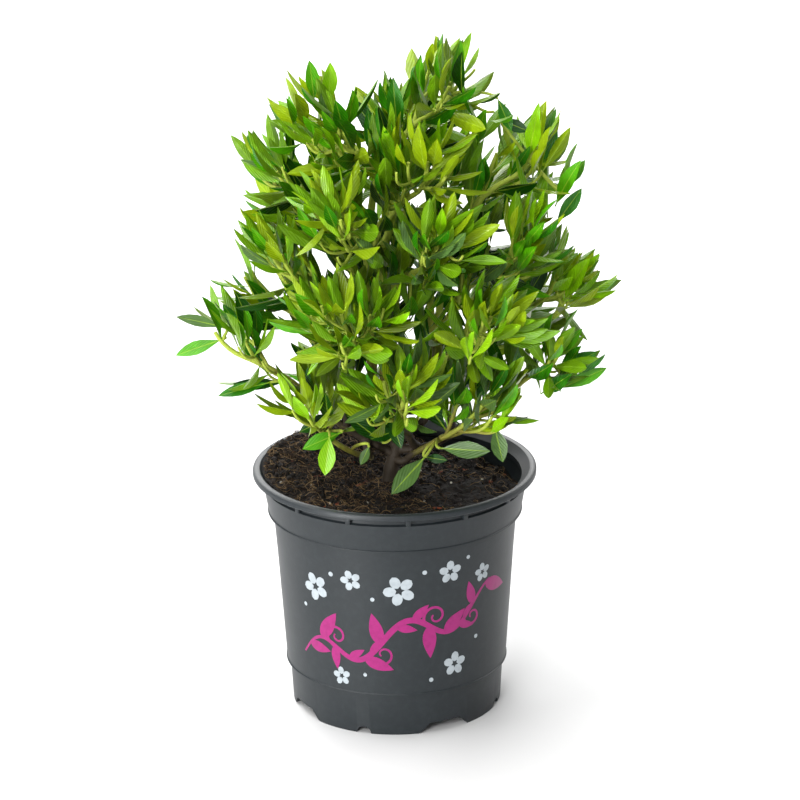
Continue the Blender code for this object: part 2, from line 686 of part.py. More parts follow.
class Foliage:
    """Grows the masses, and keeps what has been placed so that nothing touches what it should not."""

    def __init__(self, branches, limbs, others, rng):
        self.branches = branches
        self.rng = rng
        self.unit_points, self.unit_faces = unit_leaf()
        self.placed = []
        for limb in limbs.values():
            for i in range(len(limb.points) - 1):
                piece = Limb(limb.points[i:i + 2], limb.radii[i:i + 2])
                self.keep(piece.tree(GAP), piece.points)
        for thing in others:
            tree = mesh_tree(thing.data.copy())
            self.placed.append((tree, Vector((0.0, 0.0, POT_HEIGHT / 2)), 2 * RIM_RADIUS))

    def keep(self, tree, points):
        """Remember a placed shape, with a ball round it for a quick first test."""
        middle = sum(points, Vector()) / len(points)
        radius = max((point - middle).length for point in points) + 3 * MM
        self.placed.append((tree, middle, radius))

    def touches(self, tree, points):
        """Whether a shape meets anything that was placed before."""
        middle = sum(points, Vector()) / len(points)
        radius = max((point - middle).length for point in points)
        for other, centre, reach in self.placed:
            if (centre - middle).length < reach + radius and tree.overlap(other):
                return True
        return False

    def inside(self, branch, points):
        """Whether points lie in the branch's own shape and space."""
        return all(branch.holds(p) and branch.owns(p, self.branches, SPACE_MARGIN) for p in points)

    def grow_leaf(self, branch, shoot, number):
        """One leaf on a face of its shoot, tried at several angles and lengths, or none without room."""
        rng = self.rng
        age = number / (LEAVES_A_SHOOT - 1)
        root = shoot.end - shoot.axis * (LEAF_STEP * (number + 0.6))
        side = -1 if (number // TWIG_SIDES) % 2 else 1
        for attempt in range(LEAF_TRIES):
            spread = attempt / LEAF_TRIES
            angle = YOUNG_LEAF_ANGLE + (OLD_LEAF_ANGLE - YOUNG_LEAF_ANGLE) * age
            angle += rng.uniform(-LEAF_ANGLE_SHIFT, LEAF_ANGLE_SHIFT) * (1 + 2 * spread)
            turn = side * RANK_TURN + rng.uniform(-LEAF_TURN_SHIFT, LEAF_TURN_SHIFT) * (1 + spread)
            length = LEAF_LENGTH * rng.uniform(*LEAF_LENGTHS) * (1 - LEAF_SHRINK * spread)
            length *= YOUNG_LEAF_SIZE + (1 - YOUNG_LEAF_SIZE) * age
            width = LEAF_WIDTH * length / LEAF_LENGTH
            outward = shoot.face(number, turn)
            frame = place_leaf(root + outward * LEAF_ROOT_SHIFT, shoot.axis, outward, angle)
            grown = [frame @ p for p in leaf_points(self.unit_points, length, width, LEAF_THICKNESS, 0.0)]
            if not self.inside(branch, grown):
                continue
            tested = leaf_points(self.unit_points, length + GAP, width + 2 * GAP,
                                 LEAF_THICKNESS + 2 * GAP, LEAF_TEST_START)
            tested = [frame @ (p - Vector((0.0, 0.0, GAP))) for p in tested]
            tree = BVHTree.FromPolygons(tested, self.unit_faces)
            if not self.touches(tree, tested):
                self.keep(tree, tested)
                mesh = bpy.data.meshes.new("leaf")
                mesh.from_pydata(grown, [], self.unit_faces)
                return mesh
        return None

    def grow_twig(self, branch, stem, stem_mesh, number):
        """One side twig, tried on each face of the stem, or None where it finds no room."""
        rng = self.rng
        along = TWIG_FIRST_ALONG + (TWIG_LAST_ALONG - TWIG_FIRST_ALONG) * number / (SIDE_TWIGS - 1)
        for attempt in range(TWIG_TRIES):
            start, axis = stem.at(along + rng.uniform(-TWIG_SHIFT, TWIG_SHIFT))
            way = side_ways(stem_mesh, start, axis, TWIG_SIDES)[(number + attempt) % TWIG_SIDES]
            outward = Matrix.Rotation(rng.uniform(-TWIG_TURN, TWIG_TURN), 3, axis) @ way
            spread = rng.uniform(*TWIG_SPREAD)
            way = (axis * math.cos(spread) + outward * math.sin(spread)).normalized()
            end = start + way * TWIG_LENGTH * rng.uniform(*TWIG_LENGTHS)
            clearance = (BOUGH_TIP_RADIUS + TWIG_ROOT_RADIUS + 2 * GAP) / math.sin(spread)
            outer = [start + way * clearance, end]
            if not self.inside(branch, [outer[0], end + way * LEAF_LENGTH * 0.5]):
                continue
            test = Limb(outer, [TWIG_ROOT_RADIUS + GAP, TWIG_TIP_RADIUS + GAP]).tree(0.0)
            if not self.touches(test, outer):
                self.keep(test, outer)
                mesh = tube_mesh([start, end], [TWIG_ROOT_RADIUS, TWIG_TIP_RADIUS], TWIG_SIDES)
                return mesh, Shoot(mesh, start, end)
        return None

    def grow(self, branch, limb):
        """The meshes of one mass: its stem first, then its twigs and leaves."""
        direction = (limb.points[-1] - limb.points[-2]).normalized()
        foot = limb.points[-1] + direction * GAP
        head = branch.middle
        pull = (head - foot).length * STEM_PULL
        points = smooth_route(foot, direction * pull, head, branch.rise * pull, STEM_POINTS - 1)
        points[1] = foot + direction * (points[1] - foot).length
        points.append(head + branch.rise * branch.reach * LEADER_SHARE)
        taper = (TWIG_TIP_RADIUS - BOUGH_TIP_RADIUS) / (STEM_POINTS - 1)
        stem = Limb(points, [BOUGH_TIP_RADIUS + taper * i for i in range(STEM_POINTS)])
        stem_mesh = tube_mesh(stem.points, stem.radii, TWIG_SIDES)
        for i in range(STEM_POINTS - 1):
            piece = Limb(stem.points[i:i + 2], stem.radii[i:i + 2])
            self.keep(piece.tree(0.0), piece.points)
        twigs = [self.grow_twig(branch, stem, stem_mesh, i) for i in range(SIDE_TWIGS)]
        twigs = [twig for twig in twigs if twig is not None]
        shoots = [Shoot(stem_mesh, points[-2], points[-1])] + [shoot for _, shoot in twigs]
        leaves = [self.grow_leaf(branch, shoot, i) for shoot in shoots for i in range(LEAVES_A_SHOOT)]
        return [stem_mesh] + [mesh for mesh, _ in twigs] + [leaf for leaf in leaves if leaf is not None]


def keep_one_body(mesh):
    """Drop loose scraps and sealed hollows: only the largest closed body of the mesh stays."""
    shape = bmesh.new()
    shape.from_mesh(mesh)
    bmesh.ops.triangulate(shape, faces=shape.faces)
    unseen = set(shape.faces)
    bodies = []
    while unseen:
        queue = [unseen.pop()]
        body = set(queue)
        while queue:
            for edge in queue.pop().edges:
                for other in edge.link_faces:
                    if other in unseen:
                        unseen.remove(other)
                        body.add(other)
                        queue.append(other)
        bodies.append(body)
    bodies.sort(key=len)
    for body in bodies[:-1]:
        bmesh.ops.delete(shape, geom=list(body), context="FACES")
    shape.to_mesh(mesh)
    shape.free()


def make_mass(branch, meshes, collection):
    """Fuse the stem, twigs and leaves of one mass with a single Boolean union."""
    group = bpy.data.collections.new("pieces_" + branch.name)
    bpy.context.scene.collection.children.link(group)
    for mesh in meshes[1:]:
        add_object("piece", mesh, group)
    mass = add_object("foliage_" + branch.name, meshes[0], collection)
    boolean(mass, "UNION", group)
    for piece in list(group.objects):
        remove_object(piece)
    bpy.data.collections.remove(group)
    keep_one_body(mass.data)
    return mass


def clear_scene():
    """Remove what a new Blender file starts with."""
    for thing in list(bpy.data.objects):
        bpy.data.objects.remove(thing, do_unlink=True)


def set_material(thing, material):
    """Give an object one material, whatever slots its mesh was made with."""
    thing.data.materials.clear()
    thing.data.materials.append(material)


def main():
    """Build the pot, the soil and the plant."""
    clear_scene()
    scene = bpy.context.scene
    collection = bpy.data.collections.new("potted_dwarf_rhododendron")
    cutters = bpy.data.collections.new("cutters")
    limb_cutters = bpy.data.collections.new("limb_cutters")
    for group in (collection, cutters, limb_cutters):
        scene.collection.children.link(group)
    rng = random.Random(SEED)

    pot = make_pot(collection, cutters)
    set_material(pot, make_material("pot_plastic", POT_GREY, 0.55))
    soil = make_soil(collection)
    set_material(soil, make_material("peat_soil", SOIL_BROWN, 0.95))

    branches = [Branch(*row) for row in BRANCHES]
    limbs = plan_boughs(branches, plan_trunk(), rng)
    trunk = make_trunk(limbs["trunk"], collection)
    set_material(trunk, make_material("trunk_bark", BARK_BROWN, 0.9))
    for branch in branches:
        bough = make_bough(branch, limbs, collection, limb_cutters)
        set_material(bough, make_material("bark_" + branch.name, BOUGH_GREEN, 0.8))

    foliage = Foliage(branches, limbs, (pot, soil), rng)
    for i, branch in enumerate(branches):
        mass = make_mass(branch, foliage.grow(branch, limbs[branch.name]), collection)
        set_material(mass, make_material("leaves_" + branch.name, LEAF_GREENS[i % len(LEAF_GREENS)], 0.45))


main()
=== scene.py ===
"""Looks of a potted dwarf rhododendron, built round its solid model.

Laid out as an add-on: each operator builds one piece or one group of like pieces in metres, with the
origin on the pot's axis at the plane that it stands on, +Z up and the plant's front facing -Y.
"""

import math
import random
from contextlib import contextmanager
from functools import lru_cache

import bpy
import numpy as np
from mathutils import Matrix, Vector, noise
from mathutils.bvhtree import BVHTree


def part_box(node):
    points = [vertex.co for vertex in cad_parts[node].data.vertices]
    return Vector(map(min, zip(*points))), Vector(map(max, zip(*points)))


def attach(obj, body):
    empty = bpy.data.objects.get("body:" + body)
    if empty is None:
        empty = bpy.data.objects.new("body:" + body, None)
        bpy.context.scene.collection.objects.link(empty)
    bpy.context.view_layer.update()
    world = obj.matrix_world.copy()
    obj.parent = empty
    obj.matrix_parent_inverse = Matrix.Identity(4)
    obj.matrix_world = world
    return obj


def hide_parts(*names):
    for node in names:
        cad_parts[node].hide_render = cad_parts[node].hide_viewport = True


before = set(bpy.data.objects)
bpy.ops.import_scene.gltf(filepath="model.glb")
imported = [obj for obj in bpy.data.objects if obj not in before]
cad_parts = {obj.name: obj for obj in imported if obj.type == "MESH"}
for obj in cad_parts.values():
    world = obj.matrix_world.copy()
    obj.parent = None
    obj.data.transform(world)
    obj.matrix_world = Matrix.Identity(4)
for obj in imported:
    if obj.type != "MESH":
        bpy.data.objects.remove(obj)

bl_info = {
    "name": "Potted dwarf rhododendron",
    "version": (1, 0, 0),
    "blender": (4, 5, 0),
    "location": "3D View > Sidebar > Rhododendron",
    "description": "Builds the pot, its print, the soil, the limbs and the leaves round the solid model",
    "category": "Add Mesh",
}

MM = 0.001
GAP = 0.3 * MM
UP = Vector((0.0, 0.0, 1.0))
GOLDEN_ANGLE = math.radians(137.5)

# Pot

POT_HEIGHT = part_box("pot")[1].z
RIM_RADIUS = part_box("pot")[1].x
RIM_MOUTH_RADIUS = 80.4 * MM
RIM_THICKNESS = 3.8 * MM
RIM_ROUNDING = 0.9 * MM
NECK_RADIUS = 77.5 * MM
NECK_BOTTOM = 140.2 * MM
COLLAR_TOP_RADIUS = 79.0 * MM
COLLAR_TOP = 139.4 * MM
COLLAR_RADIUS = 76.0 * MM
COLLAR_BOTTOM = 122.2 * MM
BODY_TOP_RADIUS = 73.1 * MM
WAIST_RADIUS = 71.0 * MM
WAIST = 95.0 * MM
BODY_RADIUS = 66.5 * MM
BODY_BOTTOM = 27.2 * MM
BASE_TOP_RADIUS = 64.5 * MM
BASE_RADIUS = 63.1 * MM
EDGE_STEP = 0.9 * MM
BEAD = 0.5 * MM
WALL = 1.3 * MM
FLOOR_THICKNESS = 1.6 * MM
PAD_RADIUS = 46.5 * MM
CHANNEL_ROOF = 6.9 * MM
CHANNEL_TOP = CHANNEL_ROOF + FLOOR_THICKNESS
NOTCH_COUNT = 4
NOTCH_FIRST_ANGLE = math.radians(-63.0)
NOTCH_ROOF = 6.3 * MM
NOTCH_HALF_BOTTOM = math.sin(math.radians(31.3) / 2)
NOTCH_HALF_TOP = math.sin(math.radians(17.8) / 2)
ARCH_FIRST_ANGLE = math.radians(-108.5)
ARCH_RADIUS = 4.4 * MM
DRAIN_FIRST_ANGLE = math.radians(-18.0)
DRAIN_RADIUS = 3.5 * MM
RIB_COUNT = 14
RIB_FIRST_ANGLE = math.radians(-84.5)
RIB_SIZE = (3.4 * MM, 3.0 * MM, 4.9 * MM)
RIB_PLACE = (NECK_RADIUS + 1.2 * MM, 0.0, NECK_BOTTOM + RIB_SIZE[2] / 2 - GAP)
RIB_BEVEL = 0.45 * MM

# The rim's rounding, outside and inside: how far in from the edge and down from the top, in roundings

RIM_OUTSIDE = ((0.0, 1.6), (0.3, 0.8), (1.0, 0.25), (1.8, 0.0))
RIM_INSIDE = ((1.8, 0.0), (0.7, 0.3), (0.0, 1.0))

# The wall from under the rim to the foot: radius, height, and how much a wall inside it bends higher

BEND = 0.4
WALL_LINE = (
    (NECK_RADIUS, NECK_BOTTOM, 0.0),
    (COLLAR_TOP_RADIUS, COLLAR_TOP, -BEND),
    (COLLAR_RADIUS, COLLAR_BOTTOM + BEAD * 2, BEND),
    (COLLAR_RADIUS + BEAD, COLLAR_BOTTOM + BEAD, BEND),
    (COLLAR_RADIUS + BEAD, COLLAR_BOTTOM, BEND),
    (BODY_TOP_RADIUS, COLLAR_BOTTOM - EDGE_STEP, BEND),
    (WAIST_RADIUS, WAIST, 0.0),
    (BODY_RADIUS, BODY_BOTTOM + BEAD * 2, BEND),
    (BODY_RADIUS + BEAD, BODY_BOTTOM + BEAD, BEND),
    (BODY_RADIUS + BEAD, BODY_BOTTOM, BEND),
    (BASE_TOP_RADIUS, BODY_BOTTOM - EDGE_STEP, BEND),
)

# Print: a winding vine with leaves and simple flowers, laid out on the unrolled wall. Places are in
# millimetres: along the wall from the front, and height.

VINE_ENDS = (-66.0, 64.0)
VINE_HEIGHTS = (46.0, 84.0)
VINE_WAVE = 9.0
VINE_WAVES = 2.25
VINE_WIDTHS = (1.2, 3.8)
VINE_POINTS = 90
VINE_LEAVES = 13
VINE_LEAF = (21.0, 8.6)
VINE_LEAF_ANGLE = math.radians(52)
CURL_TURNS = 1.35
CURL_POINTS = 40
CURLS = ((-38.0, 1, 8.0), (-8.0, -1, 9.0), (24.0, 1, 8.5), (50.0, -1, 7.5))
PETALS = 5
PETAL_START = 0.22
PETAL_WIDTH = 0.78
FLOWERS = ((-52.0, 92.0, 7.5), (-27.0, 101.0, 5.5), (2.0, 96.0, 8.0), (33.0, 105.0, 6.0), (57.0, 99.0, 5.0),
           (-36.0, 37.0, 5.0), (38.0, 44.0, 6.5))
DOTS = ((-40.0, 103.0, 1.5), (-14.0, 90.0, 1.3), (17.0, 107.0, 1.4), (45.0, 112.0, 1.2), (-62.0, 78.0, 1.3),
        (-20.0, 40.0, 1.2), (22.0, 36.0, 1.4), (54.0, 58.0, 1.3))

# Soil and what lies on it

SOIL_LEVEL = 140.0 * MM
SOIL_FLAT_RADIUS = 13.0 * MM
SOIL_RADIUS = 75.5 * MM
SOIL_HEAP = 11.0 * MM
SOIL_HEAP_ANGLE = math.radians(152.0)
SOIL_HEAP_POWER = 1.2
SOIL_DIP = 9.0 * MM
SOIL_DIP_ANGLE = math.radians(20.0)
SOIL_FRONT_RISE = 3.0 * MM
SOIL_LUMP = 1.2 * MM
SOIL_RING = 1.2 * MM
CLODS = ((14 * MM, 2.2 * MM), (5 * MM, 1.3 * MM), (2.2 * MM, 0.8 * MM))
HEAP_TOP = POT_HEIGHT - 1.5 * MM
HEAP_OVERHANG = (RIM_MOUTH_RADIUS - MM - SOIL_RADIUS) / SOIL_RADIUS
LITTER_RADII = (9 * MM, 74 * MM)
FIBRE_POINTS = 9
FIBRE_SIDES = 3
FIBRE_STEPS = (0.7 * MM, 1.9 * MM)
FIBRE_RADII = (0.13 * MM, 0.3 * MM)
FIBRE_RISE = 3.2 * MM
FIBRE_LIFTS = (0.1, 1.0)
FIBRE_CURL = 0.9
FIBRE_JITTER = 0.5
FIBRE_TAPER = 0.7
FIBRE_CLEARANCE = 0.2 * MM
FIBRE_RETREAT = 0.97
CRUMB_SIZES = (0.7 * MM, 2.6 * MM)
CHIPS = 60
CHIP_SIZES = ((2.0 * MM, 6.0 * MM), (1.2 * MM, 3.0 * MM), (0.5 * MM, 1.0 * MM))
GRAINS = 16
GRAIN_SIZES = (0.6 * MM, 1.1 * MM)

# Trunk, boughs and masses, by the rule and the sizes of the solid model

LIMB_SEED = 17
TRUNK_FOOT = Vector((-2.0, 0.0, 140.3)) * MM
TRUNK_TIP = Vector((5.0, 2.0, 173.0)) * MM
TRUNK_FOOT_RADIUS = 6.8 * MM
TRUNK_TIP_RADIUS = 3.1 * MM
TRUNK_WIDENING = 0.35
TRUNK_POINTS = 8
FLARE_HEIGHT = 9.0 * MM
FLARE_LOBES = 3
FLARE_DEPTH = 0.22
TEST_SIDES = 6
BOUGH_ROOT_RADIUS = 2.5 * MM
BOUGH_TIP_RADIUS = 1.9 * MM
BOUGH_POINTS = 6
BOUGH_WANDER = 1.6 * MM
BOUGH_PULLS = (0.34, 0.36)
BOUGH_SHIFTS = (0.03, 0.15)
BOUGH_TURN = 1.2
BOUGH_CLIMB = 0.5
BOUGH_DRIFT = 16.0 * MM
BOUGH_TRIES = 200
CROWN_TOP = 412.0 * MM
TOP_LEAN = math.radians(6.0)
FOOT_LEAN = math.radians(62.0)
FULL_LEAN_RADIUS = 75.0 * MM
INWARD_STRETCH = 2.6
INWARD_FALL = 0.8
INWARD_STEPS = (1.7, 1.5, 1.3, 1.1, 0.9, 0.7, 0.5)
FOOT_MARGIN = 4.0 * MM
NODE_SWELL = 0.10
COLLAR_SWELL = 0.4
COLLAR_LENGTH = 4 * MM
GREEN_FROM = 174 * MM
GREEN_RISE = 110 * MM
GREEN_ALONG = 0.3

# Each bough and the mass of foliage at its end, sizes in millimetres:
# name, middle of the mass, its reach, the limb that carries the bough, how far along that limb

BRANCHES = (
    ("top", (34, 2, 376), 39, "trunk", 1.0),
    ("right_peak", (80, 4, 336), 38, "trunk", 0.80),
    ("left_shoulder", (-64, 8, 332), 38, "trunk", 0.72),
    ("back_middle", (2, 76, 272), 42, "trunk", 0.64),
    ("front_left_high", (-27, -50, 318), 36, "top", 0.10),
    ("right_low_arm", (92, -20, 220), 37, "trunk", 0.50),
    ("left_low", (-101, -8, 230), 34, "trunk", 0.44),
    ("front_low", (6, -72, 218), 36, "right_low_arm", 0.16),
    ("right_foot", (52, -40, 200), 38, "trunk", 0.28),
    ("left_foot", (-52, -40, 196), 36, "left_low", 0.22),
    ("front_right_high", (26, -54, 302), 36, "top", 0.20),
    ("back_left_low", (-58, 64, 224), 44, "back_middle", 0.20),
    ("back_right_low", (58, 66, 222), 44, "back_middle", 0.28),
    ("upper_left", (-34, -12, 358), 40, "top", 0.42),
    ("upper_middle", (20, -30, 338), 38, "top", 0.62),
    ("back_top", (4, 36, 346), 40, "top", 0.56),
    ("back_left_high", (-50, 54, 298), 42, "left_shoulder", 0.44),
    ("left_middle", (-68, -26, 286), 36, "left_shoulder", 0.54),
    ("left_low_outer", (-80, 18, 258), 38, "left_low", 0.40),
    ("front_left", (-28, -72, 262), 36, "front_left_high", 0.42),
    ("front_right", (54, -62, 256), 36, "front_right_high", 0.36),
    ("right_middle", (80, -16, 292), 38, "right_peak", 0.52),
    ("back_right_high", (54, 52, 300), 42, "right_peak", 0.40),
    ("right_low_outer", (96, 14, 256), 38, "right_low_arm", 0.42),
)

# Shoots

STEM_POINTS = 5
STEM_PULL = 0.35
STEM_LIFT = 0.5
STEM_TAPER = 0.1
LEADER_SHARE = 0.22
TWIG_LENGTHS = (35 * MM, 24 * MM)
TWIG_RADII = (1.3 * MM, 1.0 * MM)
TWIG_SPREAD = (math.radians(28), math.radians(54))
TWIG_ALONG = (0.02, 0.9)
TWIG_REACHES = (0.75, 1.2)
TWIG_SHARES = (0.62, 0.42, 0.4)
TWIG_TRIES = 8
TWIG_POINTS = 6
TWIG_JITTER = 0.04
TWIG_LAST = 0.98
TWIG_TURN_JITTER = 0.3
TWIG_SIDESTEP = 0.37
TWIG_SHORTENING = 0.25
TWIG_RISE = (0.3, 0.25)
TWIG_TAPER = 0.05
SMALL_TWIG_ALONG = 0.45
INNER_TWIGS = (0.35, 0.5, 0.62, 0.74, 0.86, 0.95)
INNER_LEAVES = 6
SPARSE_TWIGS = {"left_low": 0.45, "right_low_arm": 0.6, "right_foot": 0.8, "left_foot": 0.7,
                "back_left_low": 0.8}
SHOOT_POINTS = 10
SHOOT_SIDES = 7
OLDEST_SHOOT = 0.8

# Leaves: a leaf's outline is its width at places along it, and its test shape is a low closed hull

LEAF_STATIONS = ((0.10, 0.09), (0.24, 0.44), (0.42, 0.86), (0.59, 1.0), (0.76, 0.80), (0.90, 0.42))
RIB_SHARE = 0.085
LEAF_TEST_OUTLINE = ((1.0, 0.0), (0.72, 0.44), (0.35, 0.38), (0.14, 0.0), (0.35, -0.38), (0.72, -0.44))
LEAF_TEST_FACES = ((0, 1, 6), (1, 2, 6), (2, 3, 6), (3, 4, 6), (4, 5, 6), (5, 0, 6),
                   (5, 4, 3), (5, 3, 2), (5, 2, 1), (5, 1, 0))
LEAF_TRIES = 8
LEAF_ZONE = 0.94
LEAF_ANGLES = (math.radians(16), math.radians(64))
LEAF_JITTER = (0.16, 0.25)
LEAF_SIZES = (0.86, 1.0, 1.08, 1.08)
LEAF_SIZE_SPREAD = (0.84, 1.1)
LEAF_WIDTH_SPREAD = (0.86, 1.12)
LEAF_BENDS = ((0.2, 0.7), (0.0, 0.18), (-0.35, 0.35))
LONG_LEAF_BENDS = (0.3, 0.05, 0.2)
LEAF_GAPS = (0.6 * MM, 2.6 * MM, 0.2 * MM)
LEAF_LIFT = 0.2
LOWEST_LEAF = 175 * MM
LOW_FRONT = 230 * MM
TO_VIEWER = Vector((0.15, -0.9, 0.45))
CROWN_HEART = Vector((0.0, 0.0, 0.240))
SIDE_ROOM = 1.35
BELOW_SHARE = 0.95
REACH_SHARES = (0.9, 1.14)
SPACE_OVERLAP = 7 * MM
MOST_SHAPES = 16000
TONES = ("lime", "yellow", "fresh", "middle", "deep", "grey")
TONE_START = 0.46
TONE_BY_SPRAY = 0.7
# Tones run lighter towards the crown's outside and deeper within: partly the fresh growth outside, partly
# painted light and shade, lit outside and shaded within the crown.
TONE_SHADE_BY_DEPTH = 0.9
TONE_BY_AGE = 0.02
GREY_FROM = 0.95
GREY_FROM_LOW = 0.79

# The crown's edge as the photograph shows it from the front, and the openings through which the background
# shows, in millimetres across and up on the upright plane through the pot's axis. An opening has a radius.

EDGE = ((-62, 165), (-76, 175), (-76, 184), (-108, 190), (-106, 200), (-85, 207), (-86, 215), (-136, 215),
        (-136, 226), (-110, 230), (-109, 238), (-129, 242), (-130, 251), (-113, 253), (-110, 265),
        (-96, 279), (-97, 302), (-90, 313), (-91, 323), (-85, 328), (-92, 343), (-93, 355), (-75, 361),
        (-81, 379), (-64, 383), (-66, 393), (-47, 393), (-45, 405), (-32, 404), (-28, 387), (-12, 380),
        (-9, 397), (-4, 397), (2, 386), (8, 388), (8, 406), (20, 414), (50, 417), (59, 406), (56, 395),
        (64, 387), (67, 372), (73, 368), (97, 376), (105, 365), (108, 354), (104, 341), (113, 328),
        (109, 317), (103, 308), (107, 286), (127, 281), (136, 266), (135, 257), (119, 248), (110, 239),
        (120, 227), (133, 214), (117, 199), (103, 188), (90, 181), (81, 166))
OPENINGS = ((15, 316, 4.5), (-13, 312, 4.5), (64, 289, 5), (-72, 265, 6), (58, 347, 5.5), (-70, 217, 7),
            (-67, 228, 5), (-98, 225, 5), (-54, 228, 4), (-65, 175, 5), (82, 195, 5), (86, 188, 4.5),
            (105, 197, 3.5), (-52, 342, 4.5), (-44, 365, 3.5), (-28, 381, 5), (48, 388, 4), (-19, 361, 3),
            (96, 306, 4.5), (94, 248, 3.5), (-39, 273, 3.5), (-45, 282, 3), (-63, 244, 3), (-87, 275, 3),
            (12, 275, 3), (15, 332, 3), (69, 219, 3), (39, 236, 3), (37, 245, 3), (88, 283, 3),
            (44, 323, 3), (64, 328, 3))

# Long lower leaves that hang or reach out, in millimetres: root, tip, width and tone

LONG_LEAVES = (
    ((18, -34, 166), (-2, -50, 149), 12.5, "grey"),
    ((-38, -40, 182), (-41, -48, 160), 11.0, "lime"),
    ((27, -30, 170), (56, -42, 172), 11.0, "grey"),
    ((59, -30, 184), (64, -37, 163), 10.5, "grey"),
    ((-73, -12, 206), (-104, -20, 201), 8.0, "middle"),
    ((-101, -6, 231), (-129, -10, 223), 9.0, "fresh"),
    ((-7, -30, 174), (-28, -38, 195), 11.0, "deep"),
    ((5, -26, 184), (-17, -34, 192), 12.0, "deep"),
    ((2, -32, 182), (-14, -40, 180), 9.0, "deep"),
    ((-15, -32, 172), (-20, -38, 163), 6.0, "grey"),
    ((31, -22, 178), (13, -26, 206), 13.0, "deep"),
    ((-33, -24, 190), (-56, -32, 182), 10.0, "deep"),
    ((18, -26, 163), (31, -32, 163), 6.0, "deep"),
    ((-2, -34, 193), (4, -46, 176), 9.5, "deep"),
    ((-31, -34, 182), (-54, -42, 175), 10.0, "fresh"),
    ((103, -2, 247), (128, -4, 257), 7.5, "yellow"),
    ((98, -12, 200), (126, -16, 214), 9.0, "fresh"),
    ((96, -10, 210), (120, -16, 224), 10.0, "middle"),
    ((-44, -14, 378), (-46, -16, 403), 9.0, "fresh"),
    ((-36, -14, 376), (-34, -18, 402), 9.5, "lime"),
    ((100, 0, 320), (113, -4, 338), 8.0, "fresh"),
    ((96, -4, 300), (111, -8, 322), 9.0, "middle"),
    ((-100, -4, 238), (-128, -6, 246), 7.5, "grey"),
    ((62, -4, 376), (70, -10, 358), 8.0, "middle"),
    ((64, 0, 362), (80, -4, 356), 8.0, "deep"),
)

# Shoots that fill the crown where its masses leave it thin, in millimetres: root and tip

EXTRA_SHOOTS = (
    ((8, -20, 226), (10, -30, 254)),
    ((20, -14, 232), (24, -24, 262)),
    ((4, 6, 236), (2, 2, 268)),
    ((-36, -26, 176), (-40, -36, 202)),
    ((-44, -18, 182), (-50, -26, 208)),
    ((86, -12, 196), (102, -16, 210)),
    ((50, 0, 346), (60, -4, 368)),
    ((90, 0, 300), (101, -2, 318)),
    ((100, 0, 250), (118, 0, 264)),
    ((40, 0, 370), (49, -2, 393)),
)

# Lights: name, place and aim in metres, size and watts

WORLD_LIGHT = 0.33
LIGHTS = (
    ("above", (-0.8, 0.1, 2.2), (-0.1, 0.0, 0.0), (2.2, 2.2), 82),
    ("key", (-0.7, -2.3, 1.4), (0.0, 0.0, 0.25), (0.9, 0.9), 43),
    ("left_strip", (-0.93, -1.18, 0.13), (0.0, 0.0, 0.08), (0.12, 0.24), 19),
    ("right_back", (1.9, 1.2, 1.2), (0.0, 0.0, 0.25), (1.2, 1.2), 18),
    ("rim", (-0.1, 2.3, 0.95), (0.0, 0.0, 0.25), (2.4, 0.7), 26),
    ("back", (-0.4, 2.4, 2.0), (0.0, 1.4, 0.0), (2.4, 1.0), 75),
)


# Settings

def linear(code):
    """Turn an sRGB hex colour into the linear values that a shader socket holds."""
    channels = [int(code[i:i + 2], 16) / 255 for i in (1, 3, 5)]
    return tuple(c / 12.92 if c <= 0.04045 else ((c + 0.055) / 1.055) ** 2.4 for c in channels) + (1.0,)


def length_setting(name, description, default):
    """A size that the panel shows in the scene's own unit."""
    return bpy.props.FloatProperty(name=name, description=description, default=default, min=0.0,
                                   subtype="DISTANCE", unit="LENGTH", precision=4)


def angle_setting(name, description, degrees):
    """An angle that the panel shows in degrees."""
    return bpy.props.FloatProperty(name=name, description=description, default=math.radians(degrees),
                                   subtype="ANGLE")


def count_setting(name, description, default, **limits):
    """A whole number, with limits where it needs them."""
    return bpy.props.IntProperty(name=name, description=description, default=default, **limits)


def colour_setting(name, description, code):
    """A colour that the panel shows as a swatch."""
    return bpy.props.FloatVectorProperty(name=name, description=description, default=linear(code),
                                         size=4, min=0.0, max=1.0, subtype="COLOR")


class PotSettings(bpy.types.PropertyGroup):
    """The plastic pot and the ornament printed on it."""
    sides: count_setting("Sides", "Number of sides of the turned pot", 160, min=32, max=512)
    plastic: colour_setting("Plastic", "Body colour of the plastic", "#1e2326")
    scuff: colour_setting("Scuffs", "Colour of the fine paler scuffs in the plastic", "#24292c")
    ink: colour_setting("Vine ink", "Ink of the printed vine", "#8e2064")
    white: colour_setting("Flower ink", "Ink of the printed flowers", "#9ea6ab")
    ink_depth: length_setting("Ink depth", "How far the printed ink stands off the wall", 0.12 * MM)


class SoilSettings(bpy.types.PropertyGroup):
    """The peat in the pot and what lies on it."""
    seed: count_setting("Seed", "Seed of everything scattered on the soil", 5)
    grit: length_setting("Grit", "Size of the crumbs of the peat's surface", 2.2 * MM)
    # The colour in the peat's hollows is painted shade; the colour on its crumbs is the peat's own brown.
    hollow_shade: colour_setting("Damp peat", "Colour of the peat in its hollows", "#080605")
    dry: colour_setting("Dry peat", "Colour of the peat on its crumbs", "#1c150f")
    crumb: colour_setting("Crumbs", "Colour of the loose crumbs and the darkest rootlets", "#17110c")
    fibre: colour_setting("Fibres", "Colour of most rootlets", "#3d2c1b")
    dry_fibre: colour_setting("Dry fibres", "Colour of the dry rootlets", "#7a6344")
    chip: colour_setting("Chips", "Colour of the chips of bark", "#7a3a20")
    grain: colour_setting("Grains", "Colour of the white grains", "#d9d3c4")
    fibres: count_setting("Fibres", "Number of curly rootlets on the soil", 2600, min=3, max=6000)
    crumbs: count_setting("Crumbs", "Number of loose crumbs of peat", 900, min=1, max=3000)


